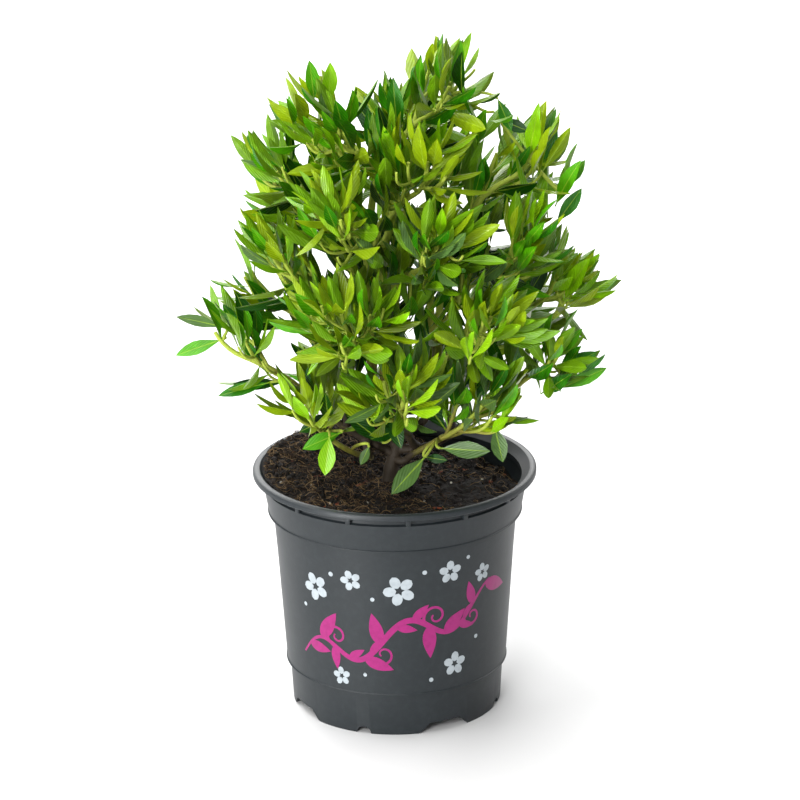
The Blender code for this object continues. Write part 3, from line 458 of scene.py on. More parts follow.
class PlantSettings(bpy.types.PropertyGroup):
    """The woody limbs and the green shoots."""
    bark: colour_setting("Old bark", "Bark at the foot of the plant", "#2c2317")
    olive: colour_setting("Young bark", "Bark of the middle of the boughs", "#787428")
    green: colour_setting("Green shoot", "Skin of the new shoots", "#9bab3c")
    relief: length_setting("Bark relief", "Height of the ridges of the bark", 0.25 * MM)
    node_spacing: length_setting("Node spacing", "Distance between the swellings on a bough", 12 * MM)
    twigs: count_setting("Side twigs", "Side twigs on the stem of one mass", 9, min=2, max=20)


class LeafSettings(bpy.types.PropertyGroup):
    """The leaves: their size, their number and their greens."""
    seed: count_setting("Seed", "Seed of the growth of shoots and leaves", 3)
    length: length_setting("Length", "Length of a grown leaf with its stalk", 41 * MM)
    width: length_setting("Width", "Width of a grown leaf", 10.4 * MM)
    thickness: length_setting("Thickness", "Thickness of a leaf at its rib", 0.5 * MM)
    leaves: count_setting("Leaves", "Leaves on one shoot", 9, min=1, max=30)
    lime: colour_setting("Lime", "Green of the newest leaves", "#7cb408")
    yellow: colour_setting("Yellow green", "Green of young leaves", "#86a00c")
    fresh: colour_setting("Fresh green", "Green of most leaves", "#4a9205")
    middle: colour_setting("Middle green", "Green of grown leaves", "#297004")
    # Deep green is partly the dark green of old leaves and partly painted shade on the inner and low front
    # leaves that take it.
    deep: colour_setting("Deep green", "Green of the shaded inner leaves", "#124003")
    grey: colour_setting("Grey green", "Green of some old leaves", "#4a6931")
    rib: colour_setting("Rib", "Pale green of the middle rib and the stalk", "#9aba34")
    under: colour_setting("Underside", "Olive green of the underside", "#7a960f")


class StageSettings(bpy.types.PropertyGroup):
    """The floor, the lights and the camera."""
    floor: colour_setting("Floor", "Colour of the floor", "#d2d2d2")
    camera_place: bpy.props.FloatVectorProperty(
        name="Camera place", description="Where the camera stands", size=3,
        default=(0.00365, -2.2454, 0.9884), subtype="TRANSLATION", unit="LENGTH")
    pitch: angle_setting("Pitch", "How far the camera looks down", 19.58)
    roll: angle_setting("Roll", "How far the camera is turned about its view", -0.6)
    lens: bpy.props.FloatProperty(name="Lens", description="Focal length on a 36 mm sensor",
                                  default=180.0, min=1.0)


# Materials

def add_node(material, kind, settings=(), links=()):
    """Add a shader node, give its fields and sockets their values and link sockets to outputs."""
    tree = material.node_tree
    node = tree.nodes.new(kind)
    for name, value in dict(settings).items():
        if name == "stops":
            while len(node.color_ramp.elements) < len(value):
                node.color_ramp.elements.new(0.5)
            for element, (position, colour) in zip(node.color_ramp.elements, value):
                element.position = position
                element.color = colour
        elif isinstance(name, int) or name in node.inputs:
            node.inputs[name].default_value = value
        else:
            setattr(node, name, value)
    for name, source in dict(links).items():
        tree.links.new(source, node.inputs[name])
    return node


def feed(material, socket, output):
    """Link an output to a socket of the material's shader."""
    material.node_tree.links.new(output, material.node_tree.nodes["Principled BSDF"].inputs[socket])


def new_material(name, roughness, specular):
    """A material whose Principled shader has constant values."""
    material = bpy.data.materials.new(name)
    material.use_nodes = True
    inputs = material.node_tree.nodes["Principled BSDF"].inputs
    inputs["Roughness"].default_value = roughness
    inputs["Specular IOR Level"].default_value = specular
    inputs["IOR"].default_value = 1.5
    return material


def object_noise(material, size, detail=2.0, upright=1.0):
    """Noise in object coordinates, with cells of about a size in metres, squeezed or drawn out upright."""
    place = add_node(material, "ShaderNodeTexCoord")
    scaled = add_node(material, "ShaderNodeMapping", {"Scale": (1.0, 1.0, upright)},
                      {"Vector": place.outputs["Object"]})
    return add_node(material, "ShaderNodeTexNoise", {"Scale": 1.0 / size, "Detail": detail},
                    {"Vector": scaled.outputs["Vector"]}).outputs["Fac"]


def mottle(material, factor, *stops):
    """Colour the shader by a factor, through stops that each have a place and a colour."""
    ramp = add_node(material, "ShaderNodeValToRGB", {"stops": stops}, {"Fac": factor})
    feed(material, "Base Color", ramp.outputs["Color"])


def emboss(material, height, distance):
    """Raise the shader's surface by a real height in metres."""
    bump = add_node(material, "ShaderNodeBump", {"Distance": distance}, {"Height": height})
    feed(material, "Normal", bump.outputs["Normal"])


def darker(colour, share):
    """A colour with its light cut to a share."""
    return tuple(c * share for c in colour[:3]) + (1.0,)


def between(first, second):
    """The colour half way between two."""
    return [(a + b) / 2 for a, b in zip(first, second)]


def pot_plastic(settings):
    """Polypropylene, injection moulded and satin: dark grey, with an even sheen and faint scuffs."""
    material = new_material("moulded_polypropylene", 0.46, 0.34)
    mottle(material, object_noise(material, 4 * MM, 6.0), (0.45, settings.plastic), (0.8, settings.scuff))
    rough = add_node(material, "ShaderNodeMapRange", {"To Min": 0.42, "To Max": 0.5},
                     {"Value": object_noise(material, 25 * MM, 3.0)})
    feed(material, "Roughness", rough.outputs["Result"])
    emboss(material, object_noise(material, 0.9 * MM, 1.0), 0.03 * MM)
    return material


def print_ink(name, colour):
    """Screen printing ink on plastic: an opaque flat film, a little glossier than the wall."""
    material = new_material(name, 0.34, 0.25)
    mottle(material, object_noise(material, 3 * MM, 4.0), (0.3, darker(colour, 0.86)), (0.55, colour))
    return material


def peat(settings):
    """Milled peat, damp and crumbly: brown and dull on its crumbs, and nearly black in the hollows of its
    relief, which is painted shade.
    """
    material = new_material("milled_peat", 0.95, 0.25)
    crumbs = object_noise(material, settings.grit, 6.0)
    # The colour follows the relief: painted shade in the hollows, the peat's own brown on the crumbs.
    mottle(material, crumbs, (0.35, settings.hollow_shade), (0.65, settings.dry))
    emboss(material, crumbs, 1.2 * MM)
    return material


def dry_litter(name, colour):
    """Dead rootlets, chips and grit on the peat: dull and fibrous, each a little unlike the next."""
    material = new_material(name, 0.85, 0.3)
    mottle(material, object_noise(material, 5 * MM), (0.35, darker(colour, 0.4)), (0.65, colour))
    return material


def bark(settings):
    """Living bark of a young shrub: brown and furrowed low down, then olive, then smooth green skin."""
    material = new_material("furrowed_bark", 0.7, 0.35)
    youth = add_node(material, "ShaderNodeAttribute", {"attribute_name": "youth"})
    shifted = add_node(material, "ShaderNodeMath", {"operation": "MULTIPLY_ADD", 1: 0.5, 2: -0.25},
                       {0: object_noise(material, 4 * MM, 4.0, 0.5)})
    age = add_node(material, "ShaderNodeMath", {"operation": "ADD"},
                   {0: youth.outputs["Fac"], 1: shifted.outputs[0]})
    mottle(material, age.outputs[0], (0.1, settings.bark), (0.5, settings.olive), (0.8, settings.green))
    emboss(material, object_noise(material, 1.6 * MM, 5.0, 0.3), 0.6 * MM)
    return material


def leaf_skin(name, colour):
    """A leathery leaf with a thin wax: even green, softly glossy, puckered between its sunken veins."""
    material = new_material(name, 0.32, 0.3)
    mottle(material, object_noise(material, 9 * MM), (0.3, darker(colour, 0.72)), (0.6, colour))
    blade = add_node(material, "ShaderNodeUVMap", {"uv_map": "UVMap"})
    slanted = add_node(material, "ShaderNodeMapping", {"Rotation": (0.0, 0.0, math.radians(40))},
                       {"Vector": blade.outputs["UV"]})
    veins = add_node(material, "ShaderNodeTexWave", {"Scale": 3.2, "Distortion": 2.0, "Detail": 1.0},
                     {"Vector": slanted.outputs["Vector"]})
    relief = add_node(material, "ShaderNodeMath", {"operation": "ADD"},
                      {0: veins.outputs["Fac"], 1: object_noise(material, 1.8 * MM, 3.0)})
    emboss(material, relief.outputs[0], 0.13 * MM)
    return material


# Modelling by hand

def select_only(*pieces):
    """Select just these pieces, or nothing, so that an operator acts on nothing else."""
    bpy.ops.object.select_all(action="DESELECT")
    for piece in pieces:
        piece.select_set(True)
    if pieces:
        bpy.context.view_layer.objects.active = pieces[0]


@contextmanager
def editing():
    """Edit the active piece, with its whole mesh selected at the start."""
    bpy.ops.object.mode_set(mode="EDIT")
    bpy.ops.mesh.select_all(action="SELECT")
    yield
    bpy.ops.object.mode_set(mode="OBJECT")


def choose(mesh, test):
    """In edit mode, select just the vertices whose place passes the test."""
    bpy.ops.object.mode_set(mode="OBJECT")
    for item in (*mesh.polygons, *mesh.edges):
        item.select = False
    for vertex in mesh.vertices:
        vertex.select = test(vertex.co)
    bpy.ops.object.mode_set(mode="EDIT")


def add_object(name, data):
    """Put a mesh, a curve, a light or a camera into the scene."""
    item = bpy.data.objects.new(name, data)
    bpy.context.scene.collection.objects.link(item)
    return item


def block(place, angle, size):
    """A box at a place, turned about the pot's axis."""
    select_only()
    place = Matrix.Rotation(angle, 3, "Z") @ Vector(place)
    bpy.ops.mesh.primitive_cube_add(size=1.0, location=place, rotation=(0.0, 0.0, angle))
    bpy.context.object.scale = size
    bpy.ops.object.transform_apply(location=False, rotation=False, scale=True)
    return bpy.context.object


def turned_piece(name, profile, sides):
    """A closed turned shape: a filled circle, drawn out ring by ring through (radius, height) points."""
    select_only()
    radius, height = profile[0]
    bpy.ops.mesh.primitive_circle_add(vertices=sides, radius=radius, fill_type="NGON",
                                      location=(0.0, 0.0, height))
    piece = bpy.context.object
    piece.name = name
    bpy.ops.object.transform_apply(location=True, rotation=False, scale=False)
    with editing():
        bpy.ops.mesh.select_mode(type="EDGE")
        for next_radius, next_height in profile[1:]:
            bpy.ops.mesh.extrude_edges_move(
                TRANSFORM_OT_translate={"value": (0.0, 0.0, next_height - height)})
            if next_radius != radius:
                share = next_radius / radius
                bpy.ops.transform.resize(value=(share, share, 1.0), center_override=(0.0, 0.0, next_height))
            radius, height = next_radius, next_height
        bpy.ops.mesh.edge_face_add()
        bpy.ops.mesh.select_mode(type="VERT")
        bpy.ops.mesh.select_all(action="SELECT")
        bpy.ops.mesh.normals_make_consistent(inside=False)
    return piece


def apply_modifier(piece, kind, **settings):
    """Add a modifier to a piece and apply it."""
    bpy.context.view_layer.objects.active = piece
    bpy.ops.object.modifier_add(type=kind)
    modifier = piece.modifiers[-1]
    for name, value in settings.items():
        setattr(modifier, name, value)
    bpy.ops.object.modifier_apply(modifier=modifier.name)


def join_pieces(name, pieces):
    """Join several pieces into one."""
    select_only(*pieces)
    bpy.ops.object.join()
    pieces[0].name = name
    return pieces[0]


def finish_piece(piece, materials, smooth, nodes=()):
    """Give a piece its materials and shading, attach it to what it rides on, and hide the solid parts that
    it stands for.
    """
    select_only(piece)
    bpy.ops.object.shade_smooth_by_angle(angle=math.radians(smooth))
    for material in materials:
        piece.data.materials.append(material)
    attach(piece, "root")
    if nodes:
        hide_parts(*nodes)


def mesh_points(mesh):
    """The vertices of a mesh as an array."""
    points = np.empty(len(mesh.vertices) * 3)
    mesh.vertices.foreach_get("co", points)
    return points.reshape(-1, 3)


def set_youth(mesh, values):
    """Store how young the skin is at each point of a mesh, for its bark."""
    attribute = mesh.attributes.new("youth", "FLOAT", "POINT")
    attribute.data.foreach_set("value", values.astype(np.float32))


def repeated_mesh(name, model, clouds, uvs=None):
    """One piece of many copies of a small model. Clouds holds the points of every copy."""
    count, size = clouds.shape[:2]
    copies = np.arange(count)[:, None]
    corners = np.array([index for face in model.polygons for index in face.vertices])
    starts = np.array([face.loop_start for face in model.polygons])
    slots = np.array([face.material_index for face in model.polygons])
    mesh = bpy.data.meshes.new(name)
    mesh.vertices.add(count * size)
    mesh.vertices.foreach_set("co", clouds.reshape(-1).astype(np.float32))
    mesh.loops.add(count * len(corners))
    mesh.loops.foreach_set("vertex_index", (corners + size * copies).reshape(-1))
    mesh.polygons.add(count * len(starts))
    mesh.polygons.foreach_set("loop_start", (starts + len(corners) * copies).reshape(-1))
    mesh.polygons.foreach_set("material_index", np.tile(slots, count))
    if uvs is not None:
        layer = mesh.uv_layers.new(name="UVMap")
        layer.data.foreach_set("uv", np.tile(uvs, (count, 1)).reshape(-1).astype(np.float32))
    mesh.update(calc_edges=True)
    mesh.validate()
    return add_object(name, mesh)


def tube_rings(points, radii, sides):
    """The points of a closed tapering tube, ring by ring without twist, and its faces."""
    line = np.array(points)
    ways = np.gradient(line, axis=0)
    ways /= np.linalg.norm(ways, axis=1)[:, None]
    side = np.array(Vector(ways[0]).orthogonal())
    angles = math.tau * np.arange(sides)[:, None] / sides
    rings = []
    for place, way, radius in zip(line, ways, radii):
        side = side - way * side.dot(way)
        side /= np.linalg.norm(side)
        rings.append(place + radius * (np.cos(angles) * side + np.sin(angles) * np.cross(way, side)))
    last = (len(line) - 1) * sides
    faces = [list(range(sides))[::-1]]
    for first in range(0, last, sides):
        for i in range(sides):
            j = (i + 1) % sides
            faces.append([first + i, first + j, first + sides + j, first + sides + i])
    return np.vstack(rings), faces + [list(range(last, last + sides))]


def tube_bundle(name, limbs, sides):
    """One piece of many thin tubes, each with the same number of points."""
    tubes = [tube_rings(limb.points, limb.radii, sides) for limb in limbs]
    model = bpy.data.meshes.new(name + "_model")
    model.from_pydata(tubes[0][0].tolist(), [], tubes[0][1])
    return repeated_mesh(name, model, np.array([points for points, _ in tubes]))


def tube_mesh(points, radii, sides):
    """A closed tapering tube through the points, with a radius at each of them."""
    ring = bpy.data.curves.new("section", "CURVE")
    ring.fill_mode = "NONE"
    data = bpy.data.curves.new("tube", "CURVE")
    data.dimensions = "3D"
    section, guide = add_object("section", ring), add_object("tube", data)
    data.bevel_mode = "OBJECT"
    data.bevel_object = section
    data.use_fill_caps = True
    angles = [math.tau * i / sides for i in range(sides)]
    for curve, places in ((ring, [(math.cos(angle), math.sin(angle), 0.0) for angle in angles]),
                          (data, points)):
        spline = curve.splines.new("POLY")
        spline.points.add(len(places) - 1)
        spline.use_cyclic_u = curve == ring
        for target, place in zip(spline.points, places):
            target.co = (*place, 1.0)
    for target, radius in zip(spline.points, radii):
        target.radius = radius
    select_only(guide)
    bpy.ops.object.convert(target="MESH")
    with editing():
        bpy.ops.mesh.remove_doubles(threshold=0.01 * MM)
        bpy.ops.mesh.normals_make_consistent(inside=False)
    mesh = guide.data
    bpy.data.objects.remove(guide)
    bpy.data.objects.remove(section)
    return mesh


# Pot

def wall_points(inset):
    """The pot's wall from under its rim to its foot, as (radius, height), moved in by inset."""
    return [(radius - inset, height + bend * inset) for radius, height, bend in WALL_LINE]


def pot_profile():
    """The pot's section, from under its floor up its outside, over the rim and down to its inner floor."""
    neck_top = POT_HEIGHT - RIM_THICKNESS
    skirt = BASE_RADIUS - EDGE_STEP - WALL
    foot = [(PAD_RADIUS, 0.0), (PAD_RADIUS + EDGE_STEP, CHANNEL_ROOF), (skirt, CHANNEL_ROOF), (skirt, 0.0),
            (BASE_RADIUS - EDGE_STEP * 0.5, 0.0), (BASE_RADIUS, EDGE_STEP)]
    rim = [(NECK_RADIUS, neck_top), (RIM_RADIUS - RIM_ROUNDING * 0.5, neck_top),
           (RIM_RADIUS, neck_top + RIM_ROUNDING * 0.5)]
    for edge, points, way in ((RIM_RADIUS, RIM_OUTSIDE, -1), (RIM_MOUTH_RADIUS, RIM_INSIDE, 1)):
        rim += [(edge + way * inward * RIM_ROUNDING, POT_HEIGHT - down * RIM_ROUNDING)
                for inward, down in points]
    rim.append((NECK_RADIUS - WALL, neck_top - EDGE_STEP))
    floor = [(BASE_RADIUS - WALL, CHANNEL_TOP), (PAD_RADIUS + EDGE_STEP * 0.5, CHANNEL_TOP),
             (PAD_RADIUS - EDGE_STEP, FLOOR_THICKNESS)]
    return foot + wall_points(0.0)[::-1] + rim + wall_points(WALL) + floor


def bore(radius, depth, place, angle, rotation=(0.0, 0.0, 0.0)):
    """A round cutter at a place that is turned about the pot's axis."""
    select_only()
    bpy.ops.mesh.primitive_cylinder_add(vertices=24, radius=radius, depth=depth, rotation=rotation,
                                        location=Matrix.Rotation(angle, 3, "Z") @ Vector(place))
    return bpy.context.object


def base_cutters():
    """The cutters of the pot's base, in fours: wedges for the notches, arches and drain holes."""
    size = (BASE_RADIUS * 0.26, BASE_RADIUS * 2 * NOTCH_HALF_BOTTOM, NOTCH_ROOF * 1.1)
    cutters = []
    for i in range(NOTCH_COUNT):
        quarter = i * math.tau / NOTCH_COUNT
        wedge = block((BASE_RADIUS * 0.99, 0.0, NOTCH_ROOF * 0.45), NOTCH_FIRST_ANGLE + quarter, size)
        for vertex in wedge.data.vertices:
            if vertex.co.z > 0:
                vertex.co.y *= NOTCH_HALF_TOP / NOTCH_HALF_BOTTOM
        angle = ARCH_FIRST_ANGLE + quarter
        arch = bore(ARCH_RADIUS, BASE_RADIUS * 0.25, (BASE_RADIUS, 0.0, 0.0), angle,
                    (0.0, math.radians(90), angle))
        drain = bore(DRAIN_RADIUS, FLOOR_THICKNESS * 4, ((PAD_RADIUS + BASE_RADIUS) / 2, 0.0, CHANNEL_ROOF),
                     DRAIN_FIRST_ANGLE + quarter)
        cutters += [wedge, arch, drain]
    return cutters


def stacking_ribs():
    """The short ribs in the groove under the rim, which keep stacked pots apart."""
    ribs = []
    for i in range(RIB_COUNT):
        ribs.append(block(RIB_PLACE, RIB_FIRST_ANGLE + i * math.tau / RIB_COUNT, RIB_SIZE))
        with editing():
            bpy.ops.mesh.bevel(offset=RIB_BEVEL, segments=2, affect="EDGES")
    return ribs


class RHODODENDRON_OT_pot(bpy.types.Operator):
    """Build the plastic pot with its rim, collar, notched foot and drain holes"""
    bl_idname = "rhododendron.pot"
    bl_label = "Pot"

    def execute(self, context):
        settings = context.scene.rhododendron_pot
        pot = turned_piece("pot_shell", pot_profile(), settings.sides)
        cutter = join_pieces("cutter", base_cutters())
        apply_modifier(pot, "BOOLEAN", operation="DIFFERENCE", object=cutter, solver="EXACT")
        bpy.data.objects.remove(cutter)
        pot = join_pieces("pot_shell", [pot] + stacking_ribs())
        finish_piece(pot, [pot_plastic(settings)], 28, ["pot"])
        return {"FINISHED"}


# Print

def wall_place(along, height):
    """The point of the outer wall at a distance along it from the front and a height, both in metres."""
    points = wall_points(0.0)[::-1]
    radius = float(np.interp(height, [z for _, z in points], [r for r, _ in points]))
    angle = along / WAIST_RADIUS
    return Vector((radius * math.sin(angle), -radius * math.cos(angle), height))


def printed_stroke(line, widths, ink_depth):
    """A thin ribbon of ink along a line on the unrolled wall, with a width at each point of it."""
    select_only()
    bpy.ops.mesh.primitive_grid_add(x_subdivisions=len(line) - 1, y_subdivisions=2, size=2.0)
    stroke = bpy.context.object
    line = np.array(line)
    ways = np.gradient(line, axis=0)
    ways /= np.linalg.norm(ways, axis=1)[:, None]
    for vertex in stroke.data.vertices:
        step = round((vertex.co.x + 1) / 2 * (len(line) - 1))
        side = round(vertex.co.y) * widths[step] / 2
        along, height = line[step] + side * np.array((-ways[step][1], ways[step][0]))
        vertex.co = wall_place(along * MM, height * MM)
    with editing():
        bpy.ops.mesh.remove_doubles(threshold=0.02 * MM)
    apply_modifier(stroke, "SOLIDIFY", thickness=ink_depth, offset=1.0)
    return stroke


def straight_line(start, way, length, count):
    """Points evenly spread from a start along a way, and the share of the length at each."""
    shares = [i / (count - 1) for i in range(count)]
    return [start + way * length * t for t in shares], shares


def vine_height(along):
    """The vine's height at a distance along the wall."""
    share = (along - VINE_ENDS[0]) / (VINE_ENDS[1] - VINE_ENDS[0])
    rise = VINE_HEIGHTS[0] + (VINE_HEIGHTS[1] - VINE_HEIGHTS[0]) * share
    return rise + VINE_WAVE * math.sin(math.tau * VINE_WAVES * share)


def vine_strokes():
    """The stem, the leaves and the curls of the vine."""
    low, high = VINE_WIDTHS
    yield ([(along, vine_height(along)) for along in np.linspace(*VINE_ENDS, VINE_POINTS)],
           [low + (high - low) * math.sin(math.pi * t) for t in np.linspace(0.0, 1.0, VINE_POINTS)])
    for i in range(VINE_LEAVES):
        along = VINE_ENDS[0] + (VINE_ENDS[1] - VINE_ENDS[0]) * (i + 0.6) / VINE_LEAVES
        slope = math.atan2(vine_height(along + 1.0) - vine_height(along), 1.0)
        angle = slope + VINE_LEAF_ANGLE * (1 if i % 2 else -1)
        length, width = (part * (0.8 + 0.25 * math.sin(1.7 * i)) for part in VINE_LEAF)
        line, shares = straight_line(np.array((along, vine_height(along))),
                                     np.array((math.cos(angle), math.sin(angle))), length, 13)
        yield line, [width * math.sin(math.pi * t ** 0.75) ** 0.9 if 0 < t < 1 else 0.0 for t in shares]
    for along, side, size in CURLS:
        middle = vine_height(along) + side * size
        shares = [i / (CURL_POINTS - 1) for i in range(CURL_POINTS)]
        line = []
        for t in shares:
            radius = size * (1 - 0.82 * t)
            angle = -side * (math.pi / 2 + math.tau * CURL_TURNS * t)
            line.append((along + radius * math.cos(angle), middle + radius * math.sin(angle)))
        yield line, [1.9 - 0.9 * t for t in shares]


def flower_strokes():
    """The petals of the flowers, and the loose dots."""
    for along, height, size in FLOWERS:
        for k in range(PETALS):
            angle = math.tau * k / PETALS + along
            way = np.array((math.cos(angle), math.sin(angle)))
            line, shares = straight_line((along, height) + way * size * PETAL_START, way, size, 9)
            yield line, [size * PETAL_WIDTH * math.sqrt(max(0.0, 1 - (2 * t - 1) ** 2)) for t in shares]
    for along, height, radius in DOTS:
        shares = [math.cos(math.pi * i / 10) for i in range(11)]
        yield ([(along - radius * c, height) for c in shares],
               [2 * radius * math.sqrt(max(0.0, 1 - c * c)) for c in shares])


class RHODODENDRON_OT_print(bpy.types.Operator):
    """Print the vine and the flowers on the wall of the pot"""
    bl_idname = "rhododendron.print"
    bl_label = "Print"

    def execute(self, context):
        settings = context.scene.rhododendron_pot
        for name, strokes, colour in (("printed_vine", vine_strokes(), settings.ink),
                                      ("printed_flowers", flower_strokes(), settings.white)):
            ink = join_pieces(name, [printed_stroke(*stroke, settings.ink_depth) for stroke in strokes])
            finish_piece(ink, [print_ink(name + "_ink", colour)], 40)
        return {"FINISHED"}


# Soil

def soil_height(x, y):
    """Height of the soil: flat round the trunk, heaped at the back left and sunk at the right."""
    radius = math.hypot(x, y)
    angle = math.atan2(y, x)
    edge = max(0.0, (radius - SOIL_FLAT_RADIUS) / (SOIL_RADIUS - SOIL_FLAT_RADIUS))
    heap = SOIL_HEAP * max(0.0, math.cos(angle - SOIL_HEAP_ANGLE)) ** SOIL_HEAP_POWER
    dip = SOIL_DIP * max(0.0, math.cos(angle - SOIL_DIP_ANGLE))
    front = SOIL_FRONT_RISE * max(0.0, -math.sin(angle))
    lumps = SOIL_LUMP * math.sin(5 * angle + radius / (9 * MM)) * math.sin(radius / (11 * MM))
    return SOIL_LEVEL + edge * (heap - dip + front) + min(edge * 3, 1.0) * lumps


def soil_top(x, y):
    """The point of the crumbly soil above a spot, pushed out where the heap lies in the rim."""
    rough = sum(height * noise.noise(Vector((x, y, 0.0)) / size) for size, height in CLODS)
    point = Vector((x, y, soil_height(x, y) + rough))
    level = min(1.0, max(0.0, (point.z - NECK_BOTTOM) / (HEAP_TOP - NECK_BOTTOM)))
    point.xy *= 1 + level * min(1.0, point.xy.length / SOIL_RADIUS) ** 6 * HEAP_OVERHANG
    return point


class RHODODENDRON_OT_soil(bpy.types.Operator):
    """Build the peat that fills the pot, with an uneven crumbly top"""
    bl_idname = "rhododendron.soil"
    bl_label = "Soil"

    def execute(self, context):
        inset = 2 * GAP
        base = [(PAD_RADIUS - EDGE_STEP - inset, FLOOR_THICKNESS + GAP),
                (PAD_RADIUS - inset, CHANNEL_TOP + GAP), (BASE_RADIUS - WALL - inset, CHANNEL_TOP + GAP)]
        side = [point for point in wall_points(WALL + inset)[::-1] if point[1] < SOIL_LEVEL - SOIL_DIP * 1.4]
        top = [(SOIL_RADIUS - i * SOIL_RING, SOIL_LEVEL) for i in range(int(SOIL_RADIUS / SOIL_RING))]
        soil = turned_piece("peat_fill", base + side + top, 200)
        for vertex in soil.data.vertices:
            if vertex.co.z > SOIL_LEVEL - 0.1 * MM:
                vertex.co = soil_top(vertex.co.x, vertex.co.y)
        finish_piece(soil, [peat(context.scene.rhododendron_soil)], 60, ["soil"])
        return {"FINISHED"}


def soil_spot(rng):
    """A place on the soil, more often on its heap at the back left."""
    inner, outer = LITTER_RADII
    while True:
        angle = rng.uniform(0.0, math.tau)
        radius = math.sqrt(rng.uniform(inner ** 2, outer ** 2))
        if rng.random() < 0.55 + 0.45 * math.cos(angle - SOIL_HEAP_ANGLE):
            return radius * math.cos(angle), radius * math.sin(angle)


def curly_fibre(rng):
    """One tapering rootlet that lies on the soil and curls up off it in places."""
    radius = rng.uniform(*FIBRE_RADII)
    x, y = soil_spot(rng)
    heading = rng.uniform(0.0, math.tau)
    curl = rng.uniform(-FIBRE_CURL, FIBRE_CURL)
    step = rng.uniform(*FIBRE_STEPS)
    lift = rng.uniform(*FIBRE_LIFTS) * FIBRE_RISE * step / FIBRE_STEPS[1]
    points = []
    for i in range(FIBRE_POINTS):
        if math.hypot(x, y) > LITTER_RADII[1] + MM:
            x, y = x * FIBRE_RETREAT, y * FIBRE_RETREAT
        arch = math.sin(math.pi * i / (FIBRE_POINTS - 1))
        points.append(soil_top(x, y) + UP * (FIBRE_CLEARANCE + lift * arch))
        heading += curl + rng.uniform(-FIBRE_JITTER, FIBRE_JITTER)
        x += step * math.cos(heading)
        y += step * math.sin(heading)
    return Limb(points, [radius * (1 - FIBRE_TAPER * i / FIBRE_POINTS) for i in range(FIBRE_POINTS)])


def scattered(model, rng, count, sizes_of):
    """Points of many copies of a small model, turned at random and set into the soil."""
    unit = mesh_points(model)
    clouds = []
    for _ in range(count):
        spot = soil_spot(rng)
        size = np.array(sizes_of(rng))
        turn = (Matrix.Rotation(rng.uniform(0, math.tau), 3, "Z")
                @ Matrix.Rotation(rng.uniform(-0.5, 0.5), 3, "X"))
        place = np.array(soil_top(*spot) + UP * size[2] * 0.3)
        clouds.append(unit * size @ np.array(turn).T + place)
    return np.array(clouds)


class RHODODENDRON_OT_litter(bpy.types.Operator):
    """Scatter rootlets, crumbs, chips of bark and white grains on the soil"""
    bl_idname = "rhododendron.litter"
    bl_label = "Litter on the soil"

    def execute(self, context):
        settings = context.scene.rhododendron_soil
        rng = random.Random(settings.seed)
        fibres = [curly_fibre(rng) for _ in range(settings.fibres)]
        third = len(fibres) // 3
        for name, colour, group in (("dark_rootlets", settings.crumb, fibres[:third]),
                                    ("brown_rootlets", settings.fibre, fibres[third:2 * third]),
                                    ("dry_rootlets", settings.dry_fibre, fibres[2 * third:])):
            finish_piece(tube_bundle(name, group, FIBRE_SIDES), [dry_litter(name, colour)], 70)

        select_only()
        bpy.ops.mesh.primitive_ico_sphere_add(subdivisions=1, radius=1.0)
        lump = bpy.context.object
        for vertex in lump.data.vertices:
            vertex.co *= 1 + 0.35 * noise.noise(vertex.co * 1.7)
        bpy.ops.mesh.primitive_cube_add(size=2.0)
        flake = bpy.context.object
        apply_modifier(flake, "BEVEL", width=0.45, segments=1, limit_method="NONE")
        for name, model, count, colour, sizes_of in (
                ("peat_crumbs", lump, settings.crumbs, settings.crumb,
                 lambda r: [r.uniform(*CRUMB_SIZES) * r.uniform(0.6, 1.0) for _ in range(3)]),
                ("bark_chips", flake, CHIPS, settings.chip,
                 lambda r: [r.uniform(*sizes) / 2 for sizes in CHIP_SIZES]),
                ("white_grains", lump, GRAINS, settings.grain,
                 lambda r: [r.uniform(*GRAIN_SIZES) for _ in range(3)])):
            piece = repeated_mesh(name, model.data, scattered(model.data, rng, count, sizes_of))
            finish_piece(piece, [dry_litter(name, colour)], 50)
        bpy.data.objects.remove(lump)
        bpy.data.objects.remove(flake)
        return {"FINISHED"}


# Trunk and boughs

